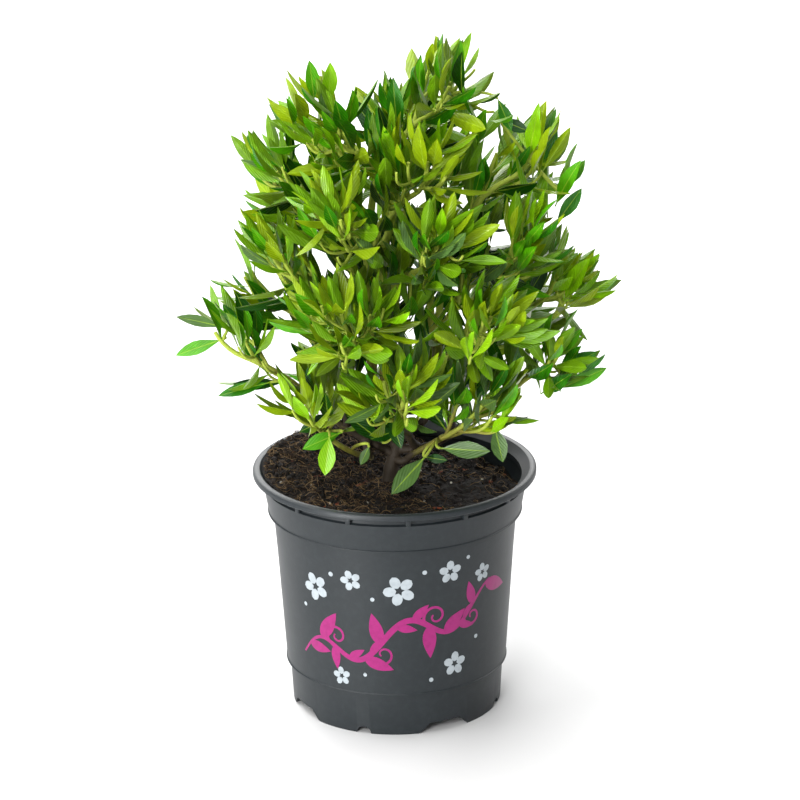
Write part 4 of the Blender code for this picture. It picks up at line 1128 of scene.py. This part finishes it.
class Limb:
    """The trunk, a bough or a shoot: the line of its middle, and its radius at each point of the line."""

    def __init__(self, points, radii):
        self.points = points
        self.radii = radii

    def at(self, along):
        """The point and the direction at a fraction of the limb's points."""
        place = min(along, 1.0) * (len(self.points) - 1)
        first = min(int(place), len(self.points) - 2)
        direction = self.points[first + 1] - self.points[first]
        return self.points[first] + direction * (place - first), direction.normalized()

    def length(self):
        """The length along the limb."""
        return sum((b - a).length for a, b in zip(self.points, self.points[1:]))

    def smooth(self, spacing):
        """The limb with more points, on a curve that passes through its own."""
        points, radii = [], []
        last = len(self.points) - 1
        for i in range(last):
            a, b = self.points[i], self.points[i + 1]
            before = self.points[i - 1] if i > 0 else a * 2 - b
            after = self.points[i + 2] if i + 2 <= last else b * 2 - a
            steps = max(1, int((b - a).length / spacing))
            for t in (k / steps for k in range(steps)):
                points.append(0.5 * ((a * 2) + (b - before) * t
                                     + (before * 2 - a * 5 + b * 4 - after) * t * t
                                     + (a * 3 - before - b * 3 + after) * t ** 3))
                radii.append(self.radii[i] + (self.radii[i + 1] - self.radii[i]) * t)
        return Limb(points + [self.points[-1]], radii + [self.radii[-1]])

    def resampled(self, count):
        """The limb with a number of points evenly spread on a smooth curve through its own."""
        fine = self.smooth(self.length() / (3 * count))
        picks = np.linspace(0, len(fine.points) - 1, count).round().astype(int)
        return Limb([fine.points[i] for i in picks], [fine.radii[i] for i in picks])

    def quick_tree(self):
        """A quick surface just off the limb, that shoots and leaves are tested against."""
        points, faces = tube_rings(self.points, [radius + GAP for radius in self.radii], TEST_SIDES)
        return BVHTree.FromPolygons([Vector(point) for point in points], faces)

    def tree(self, extra):
        """The limb's surface, moved out by extra, as a tree that other limbs are tested against."""
        mesh = tube_mesh(self.points, [radius + extra for radius in self.radii], TEST_SIDES)
        corners = [vertex.co.copy() for vertex in mesh.vertices]
        tree = BVHTree.FromPolygons(corners, [list(face.vertices) for face in mesh.polygons])
        bpy.data.meshes.remove(mesh)
        return tree


class Branch:
    """A bough and its mass of foliage, with the middle and reach of the mass in metres."""

    def __init__(self, name, middle, reach, carrier, along):
        self.name = name
        self.middle = Vector(middle) * MM
        self.reach = reach * MM
        self.carrier = carrier
        self.along = along
        outward = Vector((self.middle.x, self.middle.y, 0.0))
        level = (self.middle.z - TRUNK_TIP.z) / (CROWN_TOP - TRUNK_TIP.z)
        lean = TOP_LEAN + (FOOT_LEAN - TOP_LEAN) * (1 - level) * min(1.0, outward.length / FULL_LEAN_RADIUS)
        self.outward = outward.normalized()
        self.rise = self.outward * math.sin(lean) + UP * math.cos(lean)


class Crown:
    """The spaces of all the masses."""

    def __init__(self):
        self.branches = [Branch(*row) for row in BRANCHES]
        self.middles = np.array([branch.middle for branch in self.branches])
        self.reaches = np.array([branch.reach for branch in self.branches])
        self.outwards = np.array([branch.outward for branch in self.branches])

    def holds(self, index, points, share):
        """Whether points lie in a share of a mass's own shape, which is drawn out inwards and sideways."""
        offset = points - self.middles[index]
        outward = self.outwards[index]
        sideways = np.array((-outward[1], outward[0], 0.0))
        inward = np.minimum(0.0, offset @ outward)
        offset = offset - np.outer(inward * (1 - 1 / INWARD_STRETCH), outward)
        offset = offset - np.outer(offset @ sideways * (1 - 1 / SIDE_ROOM), sideways)
        offset[:, 2] = np.where(offset[:, 2] < 0, offset[:, 2] / BELOW_SHARE, offset[:, 2])
        return bool(((offset ** 2).sum(1) < (self.reaches[index] * share) ** 2).all())

    def owns(self, index, points, margin):
        """Whether points are in a mass's space: nearer to its middle than to any other's."""
        power = ((points[:, None] - self.middles) ** 2).sum(2) - self.reaches ** 2
        apart = 2 * np.linalg.norm(self.middles - self.middles[index], axis=1) * margin
        clear = power - power[:, index:index + 1] >= apart
        clear[:, index] = True
        return bool(clear.all())

    def foot(self, index):
        """Where the bough ends and the mass begins: as far in towards the trunk as its space goes."""
        branch = self.branches[index]
        inward = (branch.outward + UP * INWARD_FALL).normalized()
        for share in INWARD_STEPS:
            point = branch.middle - inward * branch.reach * share
            if self.owns(index, np.array([point]), FOOT_MARGIN):
                break
        return point


def smooth_route(start, start_pull, end, end_pull, count):
    """Points along one smooth bend from start to end, as a cubic through both pulls."""
    return [start * (1 - t) ** 3 + (start + start_pull) * 3 * t * (1 - t) ** 2
            + (end - end_pull) * 3 * t * t * (1 - t) + end * t ** 3
            for t in (i / (count - 1) for i in range(count))]


def plan_trunk():
    """The trunk's middle line, upright at the ground and then leaning, with a flared foot."""
    rise = TRUNK_TIP.z - TRUNK_FOOT.z
    up = UP * rise / 2
    points = smooth_route(TRUNK_FOOT, up, TRUNK_TIP, up * 0.6, TRUNK_POINTS)
    points[1].xy = points[0].xy
    radii = []
    for point in points:
        height = point.z - TRUNK_FOOT.z
        flare = math.exp(-height / (FLARE_HEIGHT / 2.2))
        taper = 1 + TRUNK_WIDENING - TRUNK_WIDENING * height / rise
        foot = TRUNK_FOOT_RADIUS - TRUNK_TIP_RADIUS * (1 + TRUNK_WIDENING)
        radii.append(TRUNK_TIP_RADIUS * taper + foot * flare)
    return Limb(points, radii)


def plan_bough(branch, foot, carrier, looseness, rng):
    """The middle line of one bough, from its carrier to the near side of its mass."""
    drift = Vector([rng.uniform(-1.0, 1.0) for _ in range(3)])
    end = foot + drift * BOUGH_DRIFT * looseness
    leader = branch.along >= 1.0
    along = branch.along
    if not leader:
        shift = BOUGH_SHIFTS[0] + BOUGH_SHIFTS[1] * looseness
        along = min(0.9, max(0.12, along + rng.uniform(-shift, shift)))
    start, direction = carrier.at(along)
    if leader:
        start = start + direction * GAP
    span = (end - start).length
    outward = (end - start).normalized()
    sideways = outward - direction * outward.dot(direction)
    turn = Matrix.Rotation(rng.uniform(-BOUGH_TURN, BOUGH_TURN) * looseness, 3, direction)
    pull = direction if leader else (turn @ sideways.normalized() + outward * BOUGH_CLIMB).normalized()
    aim = (branch.middle - end).normalized()
    points = smooth_route(start, pull * span * BOUGH_PULLS[0], end, aim * span * BOUGH_PULLS[1],
                          BOUGH_POINTS)
    if leader:
        points[1] = start + direction * GAP * 2
    for i in range(2, BOUGH_POINTS - 2):
        points[i] += Vector([rng.uniform(-BOUGH_WANDER, BOUGH_WANDER) for _ in range(3)])
    taper = (BOUGH_TIP_RADIUS - BOUGH_ROOT_RADIUS) / (BOUGH_POINTS - 1)
    return Limb(points, [BOUGH_ROOT_RADIUS + taper * i for i in range(BOUGH_POINTS)])


def outer_part(bough, carrier):
    """A bough without its first stretch, where that lies inside its carrier."""
    if (carrier.points[-1] - bough.points[0]).length < 2 * GAP:
        return bough
    nearest = min(range(len(carrier.points)), key=lambda i: (carrier.points[i] - bough.points[0]).length)
    hidden = carrier.radii[nearest] * 0.8
    start = bough.points[0] + (bough.points[1] - bough.points[0]).normalized() * hidden
    return Limb([start] + bough.points[1:], bough.radii)


@lru_cache(maxsize=None)
def planned_limbs():
    """The crown, the trunk and every bough, each tried again until it is clear of the limbs before it."""
    crown = Crown()
    rng = random.Random(LIMB_SEED)
    limbs = {"trunk": plan_trunk()}
    trees = {"trunk": limbs["trunk"].tree(GAP)}
    for index, branch in enumerate(crown.branches):
        carrier = limbs[branch.carrier]
        foot = crown.foot(index)
        for attempt in range(BOUGH_TRIES):
            bough = plan_bough(branch, foot, carrier, attempt / BOUGH_TRIES, rng)
            tree = outer_part(bough, carrier).tree(GAP * 2)
            if not any(tree.overlap(trees[name]) for name in trees if name != branch.carrier):
                break
        limbs[branch.name] = bough
        trees[branch.name] = outer_part(bough, carrier).tree(GAP)
    return crown, limbs


def skin_youth(along, height):
    """How young a limb's skin is, 0 to 1: brown low down, and green at its tip."""
    return min(1.0, max(0.0, (height - GREEN_FROM) / GREEN_RISE + GREEN_ALONG * along))


def limb_piece(name, limb, spacing, sides, node_spacing):
    """One limb as a piece, with its swellings, and with the youth of its skin at each point."""
    fine = limb.smooth(spacing)
    last = len(fine.points) - 1
    for i in range(last + 1):
        at = i * (limb.length() / last)
        node = NODE_SWELL * math.exp(-((at % node_spacing - node_spacing / 2) / MM) ** 2)
        collar = 0.0 if name in ("trunk", "top") else COLLAR_SWELL * math.exp(-at / COLLAR_LENGTH)
        fine.radii[i] *= 1 + node + collar
    mesh = tube_mesh(fine.points, fine.radii, sides)
    nearest = ((mesh_points(mesh)[:, None] - np.array(fine.points)) ** 2).sum(2).argmin(1)
    youth = np.array([skin_youth(i / last, point.z) for i, point in enumerate(fine.points)])
    set_youth(mesh, youth[nearest])
    return add_object(name, mesh)


class RHODODENDRON_OT_limbs(bpy.types.Operator):
    """Build the trunk and the boughs, with the relief of their bark"""
    bl_idname = "rhododendron.limbs"
    bl_label = "Trunk and boughs"

    def execute(self, context):
        settings = context.scene.rhododendron_plant
        crown, limbs = planned_limbs()
        pieces = []
        for name, limb in limbs.items():
            spacing, sides = (1.0 * MM, 24) if name == "trunk" else (1.6 * MM, 14)
            pieces.append(limb_piece(name, limb, spacing, sides, settings.node_spacing))
        for vertex in pieces[0].data.vertices:
            offset = vertex.co.xy - TRUNK_FOOT.xy
            lobe = math.cos(FLARE_LOBES * math.atan2(offset.y, offset.x))
            swell = FLARE_DEPTH * lobe * max(0.0, 1 - (vertex.co.z - TRUNK_FOOT.z) / FLARE_HEIGHT)
            vertex.co.xy = TRUNK_FOOT.xy + offset * (1 + swell)
        wood = join_pieces("woody_limbs", pieces)
        ridges = bpy.data.textures.new("bark_ridges", "CLOUDS")
        ridges.noise_scale = 2.4 * MM
        apply_modifier(wood, "DISPLACE", texture=ridges, strength=settings.relief * 2, mid_level=0.5,
                       texture_coords="LOCAL")
        finish_piece(wood, [bark(settings)], 50,
                     ["trunk"] + ["bough_" + branch.name for branch in crown.branches])
        return {"FINISHED"}


# Shoots and leaves

def model_leaf(settings):
    """One leaf of length 1 along X and width 1: a grid shaped row by row, closed with an underside."""
    rows = len(LEAF_STATIONS)
    select_only()
    bpy.ops.mesh.primitive_grid_add(x_subdivisions=rows - 1, y_subdivisions=3, size=1.0)
    leaf = bpy.context.object
    grid = mesh_points(leaf.data)
    columns = np.round((grid[:, 0] + 0.5) * (rows - 1)).astype(int)
    lanes = np.round((grid[:, 1] + 0.5) * 3).astype(int)
    for vertex, column, lane in zip(leaf.data.vertices, columns, lanes):
        along, width = LEAF_STATIONS[column]
        rib = min(RIB_SHARE * min(1.0, 1.25 - along), width * 0.6)
        across = rib if lane in (1, 2) else width
        vertex.co = (along, across / 2 if lane > 1 else -across / 2, 0.0)
    with editing():
        bpy.ops.mesh.duplicate()
        bpy.ops.mesh.flip_normals()
    half = len(leaf.data.vertices) // 2
    for lane, vertex in zip(lanes, list(leaf.data.vertices)[half:]):
        if lane in (1, 2):
            vertex.co.z = -settings.thickness / settings.length
    start, end = LEAF_STATIONS[0][0], LEAF_STATIONS[-1][0]
    with editing():
        bpy.ops.mesh.remove_doubles(threshold=0.0001)
        choose(leaf.data, lambda co: abs(co.x - end) < 0.001)
        bpy.ops.mesh.extrude_edges_move(TRANSFORM_OT_translate={"value": (1.0 - end, 0.0, 0.0)})
        bpy.ops.mesh.merge(type="CENTER")
        choose(leaf.data, lambda co: abs(co.x - start) < 0.001)
        bpy.ops.mesh.extrude_edges_move(TRANSFORM_OT_translate={"value": (-start, 0.0, 0.0)})
        bpy.ops.mesh.edge_face_add()
        bpy.ops.mesh.select_all(action="SELECT")
        bpy.ops.mesh.normals_make_consistent(inside=False)
    for face in leaf.data.polygons:
        rib = abs(face.center.y) < 0.01 and face.center.x < 0.94
        face.material_index = 1 if face.center.x < start or rib else (2 if face.normal.z < 0 else 0)
    mesh = leaf.data
    bpy.data.objects.remove(leaf)
    return mesh


def bent_leaves(points, places, sizes, bends):
    """The points of every leaf: the unit leaf at its size, folded, arched and twisted, and put in place."""
    x, y, z = points.T
    length, width = sizes[:, 0:1], sizes[:, 1:2]
    fold, arch, twist = bends[:, 0:1], bends[:, 1:2], bends[:, 2:3]
    blade = np.clip((x - 0.08) / 0.25, 0.0, 1.0)
    along = x * length * (1 - 0.15 * np.abs(arch) * x)
    across = y * width * (1 - 0.15 * np.abs(fold))
    height = z * length + fold * (np.abs(y) * width) * blade - arch * length * x ** 2
    cos, sin = np.cos(twist * x), np.sin(twist * x)
    local = np.stack((along, across * cos - height * sin, across * sin + height * cos, np.ones_like(along)),
                     axis=2)
    return np.einsum("nij,nvj->nvi", places, local)[:, :, :3]


def leaf_place(root, along, inward):
    """The frame of a leaf: along its length, with its upper side towards the inward way."""
    across = inward.cross(along).normalized()
    up = along.cross(across).normalized()
    return Matrix.Translation(root) @ Matrix((along, across, up)).transposed().to_4x4()


def leaf_hull(place, length, width):
    """The outline and crest of a leaf as a low closed shape, and its points."""
    local = [(a * length, c * width, -0.2 * MM) for a, c in LEAF_TEST_OUTLINE]
    local.append((0.6 * length, 0.0, 0.6 * MM))
    points = np.array([place @ Vector(point) for point in local])
    return BVHTree.FromPolygons([Vector(point) for point in points], LEAF_TEST_FACES), points


class Shoots:
    """Grows the shoots and leaves of the masses, each tested against what was placed before it."""

    def __init__(self, plant, leaf, eye):
        self.crown, self.limbs = planned_limbs()
        self.plant = plant
        self.leaf = leaf
        self.eye = np.array(eye)
        self.openings = np.array(OPENINGS) * MM
        self.edge = np.array(EDGE) * MM
        self.rng = random.Random(leaf.seed)
        self.trees = []
        self.centres = np.zeros((MOST_SHAPES, 3))
        self.radii = np.zeros(MOST_SHAPES)
        self.leaves = []
        self.mass_stems = [self.plan_stem(branch) for branch in self.crown.branches]
        self.stems = list(self.mass_stems)
        self.carriers = list(self.limbs.values()) + self.mass_stems
        for limb in self.carriers:
            for i in range(len(limb.points) - 1):
                self.keep_limb(Limb(limb.points[i:i + 2], limb.radii[i:i + 2]))

    def plan_stem(self, branch):
        """The stem of a mass, which goes on from its bough to the top of the mass."""
        tip, direction = self.limbs[branch.name].at(1.0)
        foot = tip - direction * MM
        rise = (branch.rise + UP * STEM_LIFT).normalized()
        pull = (branch.middle - foot).length * STEM_PULL
        points = smooth_route(foot, direction * pull, branch.middle, rise * pull, STEM_POINTS - 1)
        points.append(branch.middle + rise * branch.reach * LEADER_SHARE)
        return Limb(points, [BOUGH_TIP_RADIUS * (1 - STEM_TAPER * i) for i in range(STEM_POINTS)])

    def keep(self, tree, points):
        """Remember a placed shape, with a ball round it for a quick first test."""
        index = len(self.trees)
        self.trees.append(tree)
        self.centres[index] = points.mean(0)
        self.radii[index] = np.sqrt(((points - points.mean(0)) ** 2).sum(1).max()) + 2 * MM

    def keep_limb(self, limb):
        """Remember a limb's surface."""
        self.keep(limb.quick_tree(), np.array(limb.points))

    def touches(self, tree, points):
        """Whether a shape meets anything that was placed before."""
        count = len(self.trees)
        middle = points.mean(0)
        radius = np.sqrt(((points - middle) ** 2).sum(1).max())
        apart = ((self.centres[:count] - middle) ** 2).sum(1)
        near = np.nonzero(apart < (self.radii[:count] + radius) ** 2)[0]
        return any(tree.overlap(self.trees[i]) for i in near)

    def in_sky(self, points):
        """Whether a shape is seen from the front outside the crown's edge or in one of its openings."""
        share = self.eye[1] / (self.eye[1] - points[:, 1:2])
        seen = (self.eye + (points - self.eye) * share)[:, (0, 2)]
        seen = np.vstack((seen, (seen + np.roll(seen, 1, axis=0)) / 2))
        apart = np.linalg.norm(seen[:, None] - self.openings[:, :2], axis=2)
        if (apart < self.openings[:, 2]).any():
            return True
        start, end = self.edge, np.roll(self.edge, -1, axis=0)
        across, up = seen[:, :1], seen[:, 1:]
        crosses = (start[:, 1] > up) != (end[:, 1] > up)
        slope = (end[:, 0] - start[:, 0]) / (end[:, 1] - start[:, 1] + 1e-9)
        left = across < start[:, 0] + slope * (up - start[:, 1])
        return bool(((crosses & left).sum(1) % 2 == 0).any())

    def has_room(self, index, points, share=1.0):
        """Whether points are inside the mass's reach and space, if it has one, and clear of the sky."""
        inside = index is None or (points[:, 2].min() > LOWEST_LEAF
                                   and self.crown.holds(index, points, share)
                                   and self.crown.owns(index, points, -SPACE_OVERLAP))
        return inside and not self.in_sky(points)

    def grow_leaf(self, index, shoot, number, phase, chance, share):
        """One leaf of a shoot, tried at several angles and lengths, or none without room."""
        rng = self.rng
        total = shoot.length()
        first, step, widening = LEAF_GAPS
        back = min(total * LEAF_ZONE, first + step * number + widening * number ** 2)
        root, axis = shoot.at(1.0 - back / total)
        side = axis.orthogonal().normalized()
        age = number / max(1, self.leaf.leaves - 1)
        usual = LEAF_ANGLES[0] + (LEAF_ANGLES[1] - LEAF_ANGLES[0]) * age ** 0.8
        for attempt in range(LEAF_TRIES):
            loose = 1 + 2 * attempt / LEAF_TRIES
            angle = usual + rng.uniform(-LEAF_JITTER[0], LEAF_JITTER[0]) * loose
            turn = phase + number * GOLDEN_ANGLE + rng.uniform(-LEAF_JITTER[1], LEAF_JITTER[1]) * loose
            size = LEAF_SIZES[min(number // 2, 3)] * rng.uniform(*LEAF_SIZE_SPREAD) * (1.15 - 0.15 * loose)
            length = self.leaf.length * size
            width = self.leaf.width * size * rng.uniform(*LEAF_WIDTH_SPREAD)
            outward = Matrix.Rotation(turn, 3, axis) @ side
            along = axis * math.cos(angle) + outward * math.sin(angle)
            along = (along + UP * LEAF_LIFT * age).normalized()
            place = leaf_place(root + outward * shoot.radii[-1] * 0.5, along, outward)
            tree, points = leaf_hull(place, length, width)
            if self.has_room(index, points, share) and not self.touches(tree, points):
                self.keep(tree, points)
                bends = [rng.uniform(*bend) for bend in LEAF_BENDS]
                tone = self.tone(index, root, number, chance)
                self.leaves.append((place, (length, width), bends, tone))
                return

    def tone(self, index, root, number, chance):
        """The tone of a leaf: by its spray, and lighter towards the crown's outside and deeper within,
        partly for the fresh outer growth and partly as painted light outside and painted shade inside the
        crown.
        """
        if index is None:
            return TONES[min(4, int(chance * 5))]
        middle = self.crown.branches[index].middle
        outer = (root - CROWN_HEART).length / (middle - CROWN_HEART).length
        value = (TONE_START + TONE_BY_SPRAY * (chance - 0.5) - TONE_SHADE_BY_DEPTH * (outer - 1.0)
                 + TONE_BY_AGE * (number - 4))
        shaded = middle.z < LOW_FRONT and middle.y < 0
        if chance > (GREY_FROM_LOW if shaded else GREY_FROM) and number > 1:
            return "grey"
        return TONES[min(4, max(0, int(value * 5)))]

    def grow_twig(self, index, stem, along, number, order):
        """One side twig that bends up, tried on several sides of its stem, or none without room."""
        rng = self.rng
        out_share, up_share, pull = TWIG_SHARES
        for attempt in range(TWIG_TRIES):
            shifted = along + rng.uniform(-TWIG_JITTER, TWIG_JITTER)
            start, axis = stem.at(min(TWIG_LAST, max(0.0, shifted)))
            turn = ((number + attempt * TWIG_SIDESTEP) * GOLDEN_ANGLE
                    + rng.uniform(-TWIG_TURN_JITTER, TWIG_TURN_JITTER))
            outward = Matrix.Rotation(turn, 3, axis) @ axis.orthogonal().normalized()
            spread = rng.uniform(*TWIG_SPREAD)
            way = axis * math.cos(spread) + outward * math.sin(spread)
            reach = (TWIG_LENGTHS[order] * rng.uniform(*TWIG_REACHES)
                     * (1 - TWIG_SHORTENING * attempt / TWIG_TRIES))
            outwards = self.crown.branches[index].outward
            rise = (UP + outwards * TWIG_RISE[0] + way * TWIG_RISE[1]).normalized()
            end = start + way * reach * out_share + rise * reach * up_share
            line = smooth_route(start, way * reach * pull, end, rise * reach * pull, TWIG_POINTS)
            twig = Limb(line, [TWIG_RADII[order] * (1.0 - TWIG_TAPER * i) for i in range(TWIG_POINTS)])
            ahead = np.array([end, end + rise * self.leaf.length * 0.5])
            if self.has_room(index, ahead) and self.crown.owns(index, ahead[:1], 0.0):
                tree = Limb(line[1:], twig.radii[1:]).quick_tree()
                points = np.array(line[1:])
                if not self.touches(tree, points) and not self.in_sky(points):
                    self.keep(tree, points)
                    self.stems.append(twig)
                    return twig

    def grow_leaves(self, index, shoot, count):
        """The leaves of one shoot, from its tip down."""
        phase = self.rng.uniform(0.0, math.tau)
        chance = self.rng.random()
        share = self.rng.uniform(*REACH_SHARES)
        for number in range(count):
            self.grow_leaf(index, shoot, number, phase, chance, share)

    def grow_mass(self, index):
        """One mass: its twigs, their twigs and all the leaves, and the small twigs on its bough."""
        branch = self.crown.branches[index]
        stem = self.mass_stems[index]
        shoots = [stem]
        first, last = TWIG_ALONG
        for number in range(self.plant.twigs):
            if self.rng.random() > SPARSE_TWIGS.get(branch.name, 1.0):
                continue
            along = first + (last - first) * number / (self.plant.twigs - 1)
            twig = self.grow_twig(index, stem, along, number, 0)
            small = twig and self.grow_twig(index, twig, SMALL_TWIG_ALONG, number, 1)
            shoots += [shoot for shoot in (twig, small) if shoot]
        for shoot in shoots:
            self.grow_leaves(index, shoot, self.leaf.leaves)
        for along in INNER_TWIGS:
            twig = self.grow_twig(index, self.limbs[branch.name], along, round(along * 20), 1)
            if twig:
                self.grow_leaves(index, twig, INNER_LEAVES)

    def carried_twig(self, root, tip):
        """A thin twig that grows from the nearest limb and ends at root, aimed at tip."""
        start = min((point for limb in self.carriers for point in limb.points[1:-1]),
                    key=lambda point: (point - root).length)
        along = (tip - root).normalized()
        twig = Limb(smooth_route(start, UP * 4 * MM, root, along * 5 * MM, TWIG_POINTS),
                    [TWIG_RADII[1] * (1.1 - 0.06 * i) for i in range(TWIG_POINTS)])
        self.stems.append(twig)
        self.keep_limb(Limb(twig.points[2:], twig.radii[2:]))
        return twig, along

    def hang_leaf(self, root, tip, width, tone):
        """One long lower leaf with the thin twig that carries it."""
        root, tip = Vector(root) * MM, Vector(tip) * MM
        along = self.carried_twig(root, tip)[1]
        place = leaf_place(root - along * MM, along, TO_VIEWER)
        size = ((tip - root).length + MM, width * MM)
        self.keep(*leaf_hull(place, *size))
        self.leaves.append((place, size, LONG_LEAF_BENDS, tone))

    def grow_extra(self, root, tip):
        """One more shoot with its leaves, between the masses."""
        root, tip = Vector(root) * MM, Vector(tip) * MM
        twig = self.carried_twig(tip, tip * 2 - root)[0]
        self.grow_leaves(None, Limb([root, tip], twig.radii[-2:]), self.leaf.leaves)


class RHODODENDRON_OT_foliage(bpy.types.Operator):
    """Grow the green shoots and the leaves of every mass"""
    bl_idname = "rhododendron.foliage"
    bl_label = "Shoots and leaves"

    def execute(self, context):
        plant = context.scene.rhododendron_plant
        settings = context.scene.rhododendron_leaf
        shoots = Shoots(plant, settings, context.scene.rhododendron_stage.camera_place)
        for row in LONG_LEAVES:
            shoots.hang_leaf(*row)
        for row in EXTRA_SHOOTS:
            shoots.grow_extra(*row)
        for index in range(len(BRANCHES)):
            shoots.grow_mass(index)
        masses = ["foliage_" + row[0] for row in BRANCHES]

        fine = [stem.resampled(SHOOT_POINTS) for stem in shoots.stems]
        stems = tube_bundle("green_shoots", fine, SHOOT_SIDES)
        youth = [np.linspace(min(OLDEST_SHOOT, skin_youth(1.0, stem.points[0].z)), 1.0, SHOOT_POINTS)
                 for stem in fine]
        set_youth(stems.data, np.repeat(np.concatenate(youth), SHOOT_SIDES))
        finish_piece(stems, [bark(plant)], 60, masses)

        model = model_leaf(settings)
        unit = mesh_points(model)
        uvs = unit[[index for face in model.polygons for index in face.vertices]][:, :2]
        for tone in TONES:
            group = [leaf for leaf in shoots.leaves if leaf[3] == tone]
            clouds = bent_leaves(unit, *(np.array([leaf[i] for leaf in group]) for i in range(3)))
            piece = repeated_mesh("leaves_" + tone, model, clouds, uvs)
            colour = getattr(settings, tone)
            under = colour if tone == "grey" else between(colour, settings.under)
            skins = [leaf_skin("leaf_" + tone, colour),
                     leaf_skin("leaf_rib_" + tone, between(colour, settings.rib)),
                     leaf_skin("leaf_underside_" + tone, under)]
            finish_piece(piece, skins, 70, masses)
        return {"FINISHED"}


# Stage

class RHODODENDRON_OT_stage(bpy.types.Operator):
    """Set up the floor, the lights and the camera"""
    bl_idname = "rhododendron.stage"
    bl_label = "Stage"

    def execute(self, context):
        settings = context.scene.rhododendron_stage
        select_only()
        bpy.ops.mesh.primitive_plane_add(size=16.0)
        floor = context.object
        floor.name = "studio_floor"
        paper = new_material("white_paper", 0.9, 0.1)
        paper.node_tree.nodes["Principled BSDF"].inputs["Base Color"].default_value = settings.floor
        floor.data.materials.append(paper)

        context.scene.world = bpy.data.worlds.new("studio")
        context.scene.world.use_nodes = True
        background = context.scene.world.node_tree.nodes["Background"].inputs
        background["Color"].default_value = (1.0, 1.0, 1.0, 1.0)
        background["Strength"].default_value = WORLD_LIGHT
        for name, place, aim, size, watts in LIGHTS:
            data = bpy.data.lights.new(name, "AREA")
            data.shape = "RECTANGLE"
            data.size, data.size_y = size
            data.energy = watts
            light = add_object(name, data)
            light.location = place
            light.rotation_euler = (Vector(aim) - Vector(place)).to_track_quat("-Z", "Y").to_euler()

        data = bpy.data.cameras.new("camera")
        data.sensor_width = 36.0
        data.lens = settings.lens
        camera = add_object("camera", data)
        camera.matrix_world = (Matrix.Translation(settings.camera_place)
                               @ Matrix.Rotation(math.radians(90) - settings.pitch, 4, "X")
                               @ Matrix.Rotation(settings.roll, 4, "Z"))
        context.scene.camera = camera
        context.scene.view_settings.view_transform = "Standard"
        return {"FINISHED"}


class RHODODENDRON_PT_panel(bpy.types.Panel):
    """Lists the steps of the plant and their settings"""
    bl_label = "Potted rhododendron"
    bl_idname = "RHODODENDRON_PT_panel"
    bl_space_type = "VIEW_3D"
    bl_region_type = "UI"
    bl_category = "Rhododendron"

    def draw(self, context):
        for operator in OPERATORS:
            self.layout.operator(operator.bl_idname)
        for name in GROUPS:
            group = getattr(context.scene, name)
            box = self.layout.box()
            for setting in group.__annotations__:
                box.prop(group, setting)


OPERATORS = (RHODODENDRON_OT_pot, RHODODENDRON_OT_print, RHODODENDRON_OT_soil, RHODODENDRON_OT_litter,
             RHODODENDRON_OT_limbs, RHODODENDRON_OT_foliage, RHODODENDRON_OT_stage)
GROUPS = {
    "rhododendron_pot": PotSettings,
    "rhododendron_soil": SoilSettings,
    "rhododendron_plant": PlantSettings,
    "rhododendron_leaf": LeafSettings,
    "rhododendron_stage": StageSettings,
}


def register():
    """Make the settings, the operators and the panel known to Blender."""
    for name, group in GROUPS.items():
        bpy.utils.register_class(group)
        setattr(bpy.types.Scene, name, bpy.props.PointerProperty(type=group))
    for kind in (*OPERATORS, RHODODENDRON_PT_panel):
        bpy.utils.register_class(kind)


def unregister():
    """Take them away again."""
    for kind in (RHODODENDRON_PT_panel, *reversed(OPERATORS)):
        bpy.utils.unregister_class(kind)
    for name, group in reversed(GROUPS.items()):
        delattr(bpy.types.Scene, name)
        bpy.utils.unregister_class(group)


def main():
    """Build every piece in order."""
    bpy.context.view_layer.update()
    register()
    bpy.ops.rhododendron.pot()
    bpy.ops.rhododendron.print()
    bpy.ops.rhododendron.soil()
    bpy.ops.rhododendron.litter()
    bpy.ops.rhododendron.limbs()
    bpy.ops.rhododendron.foliage()
    bpy.ops.rhododendron.stage()


if __name__ == "__main__":
    main()
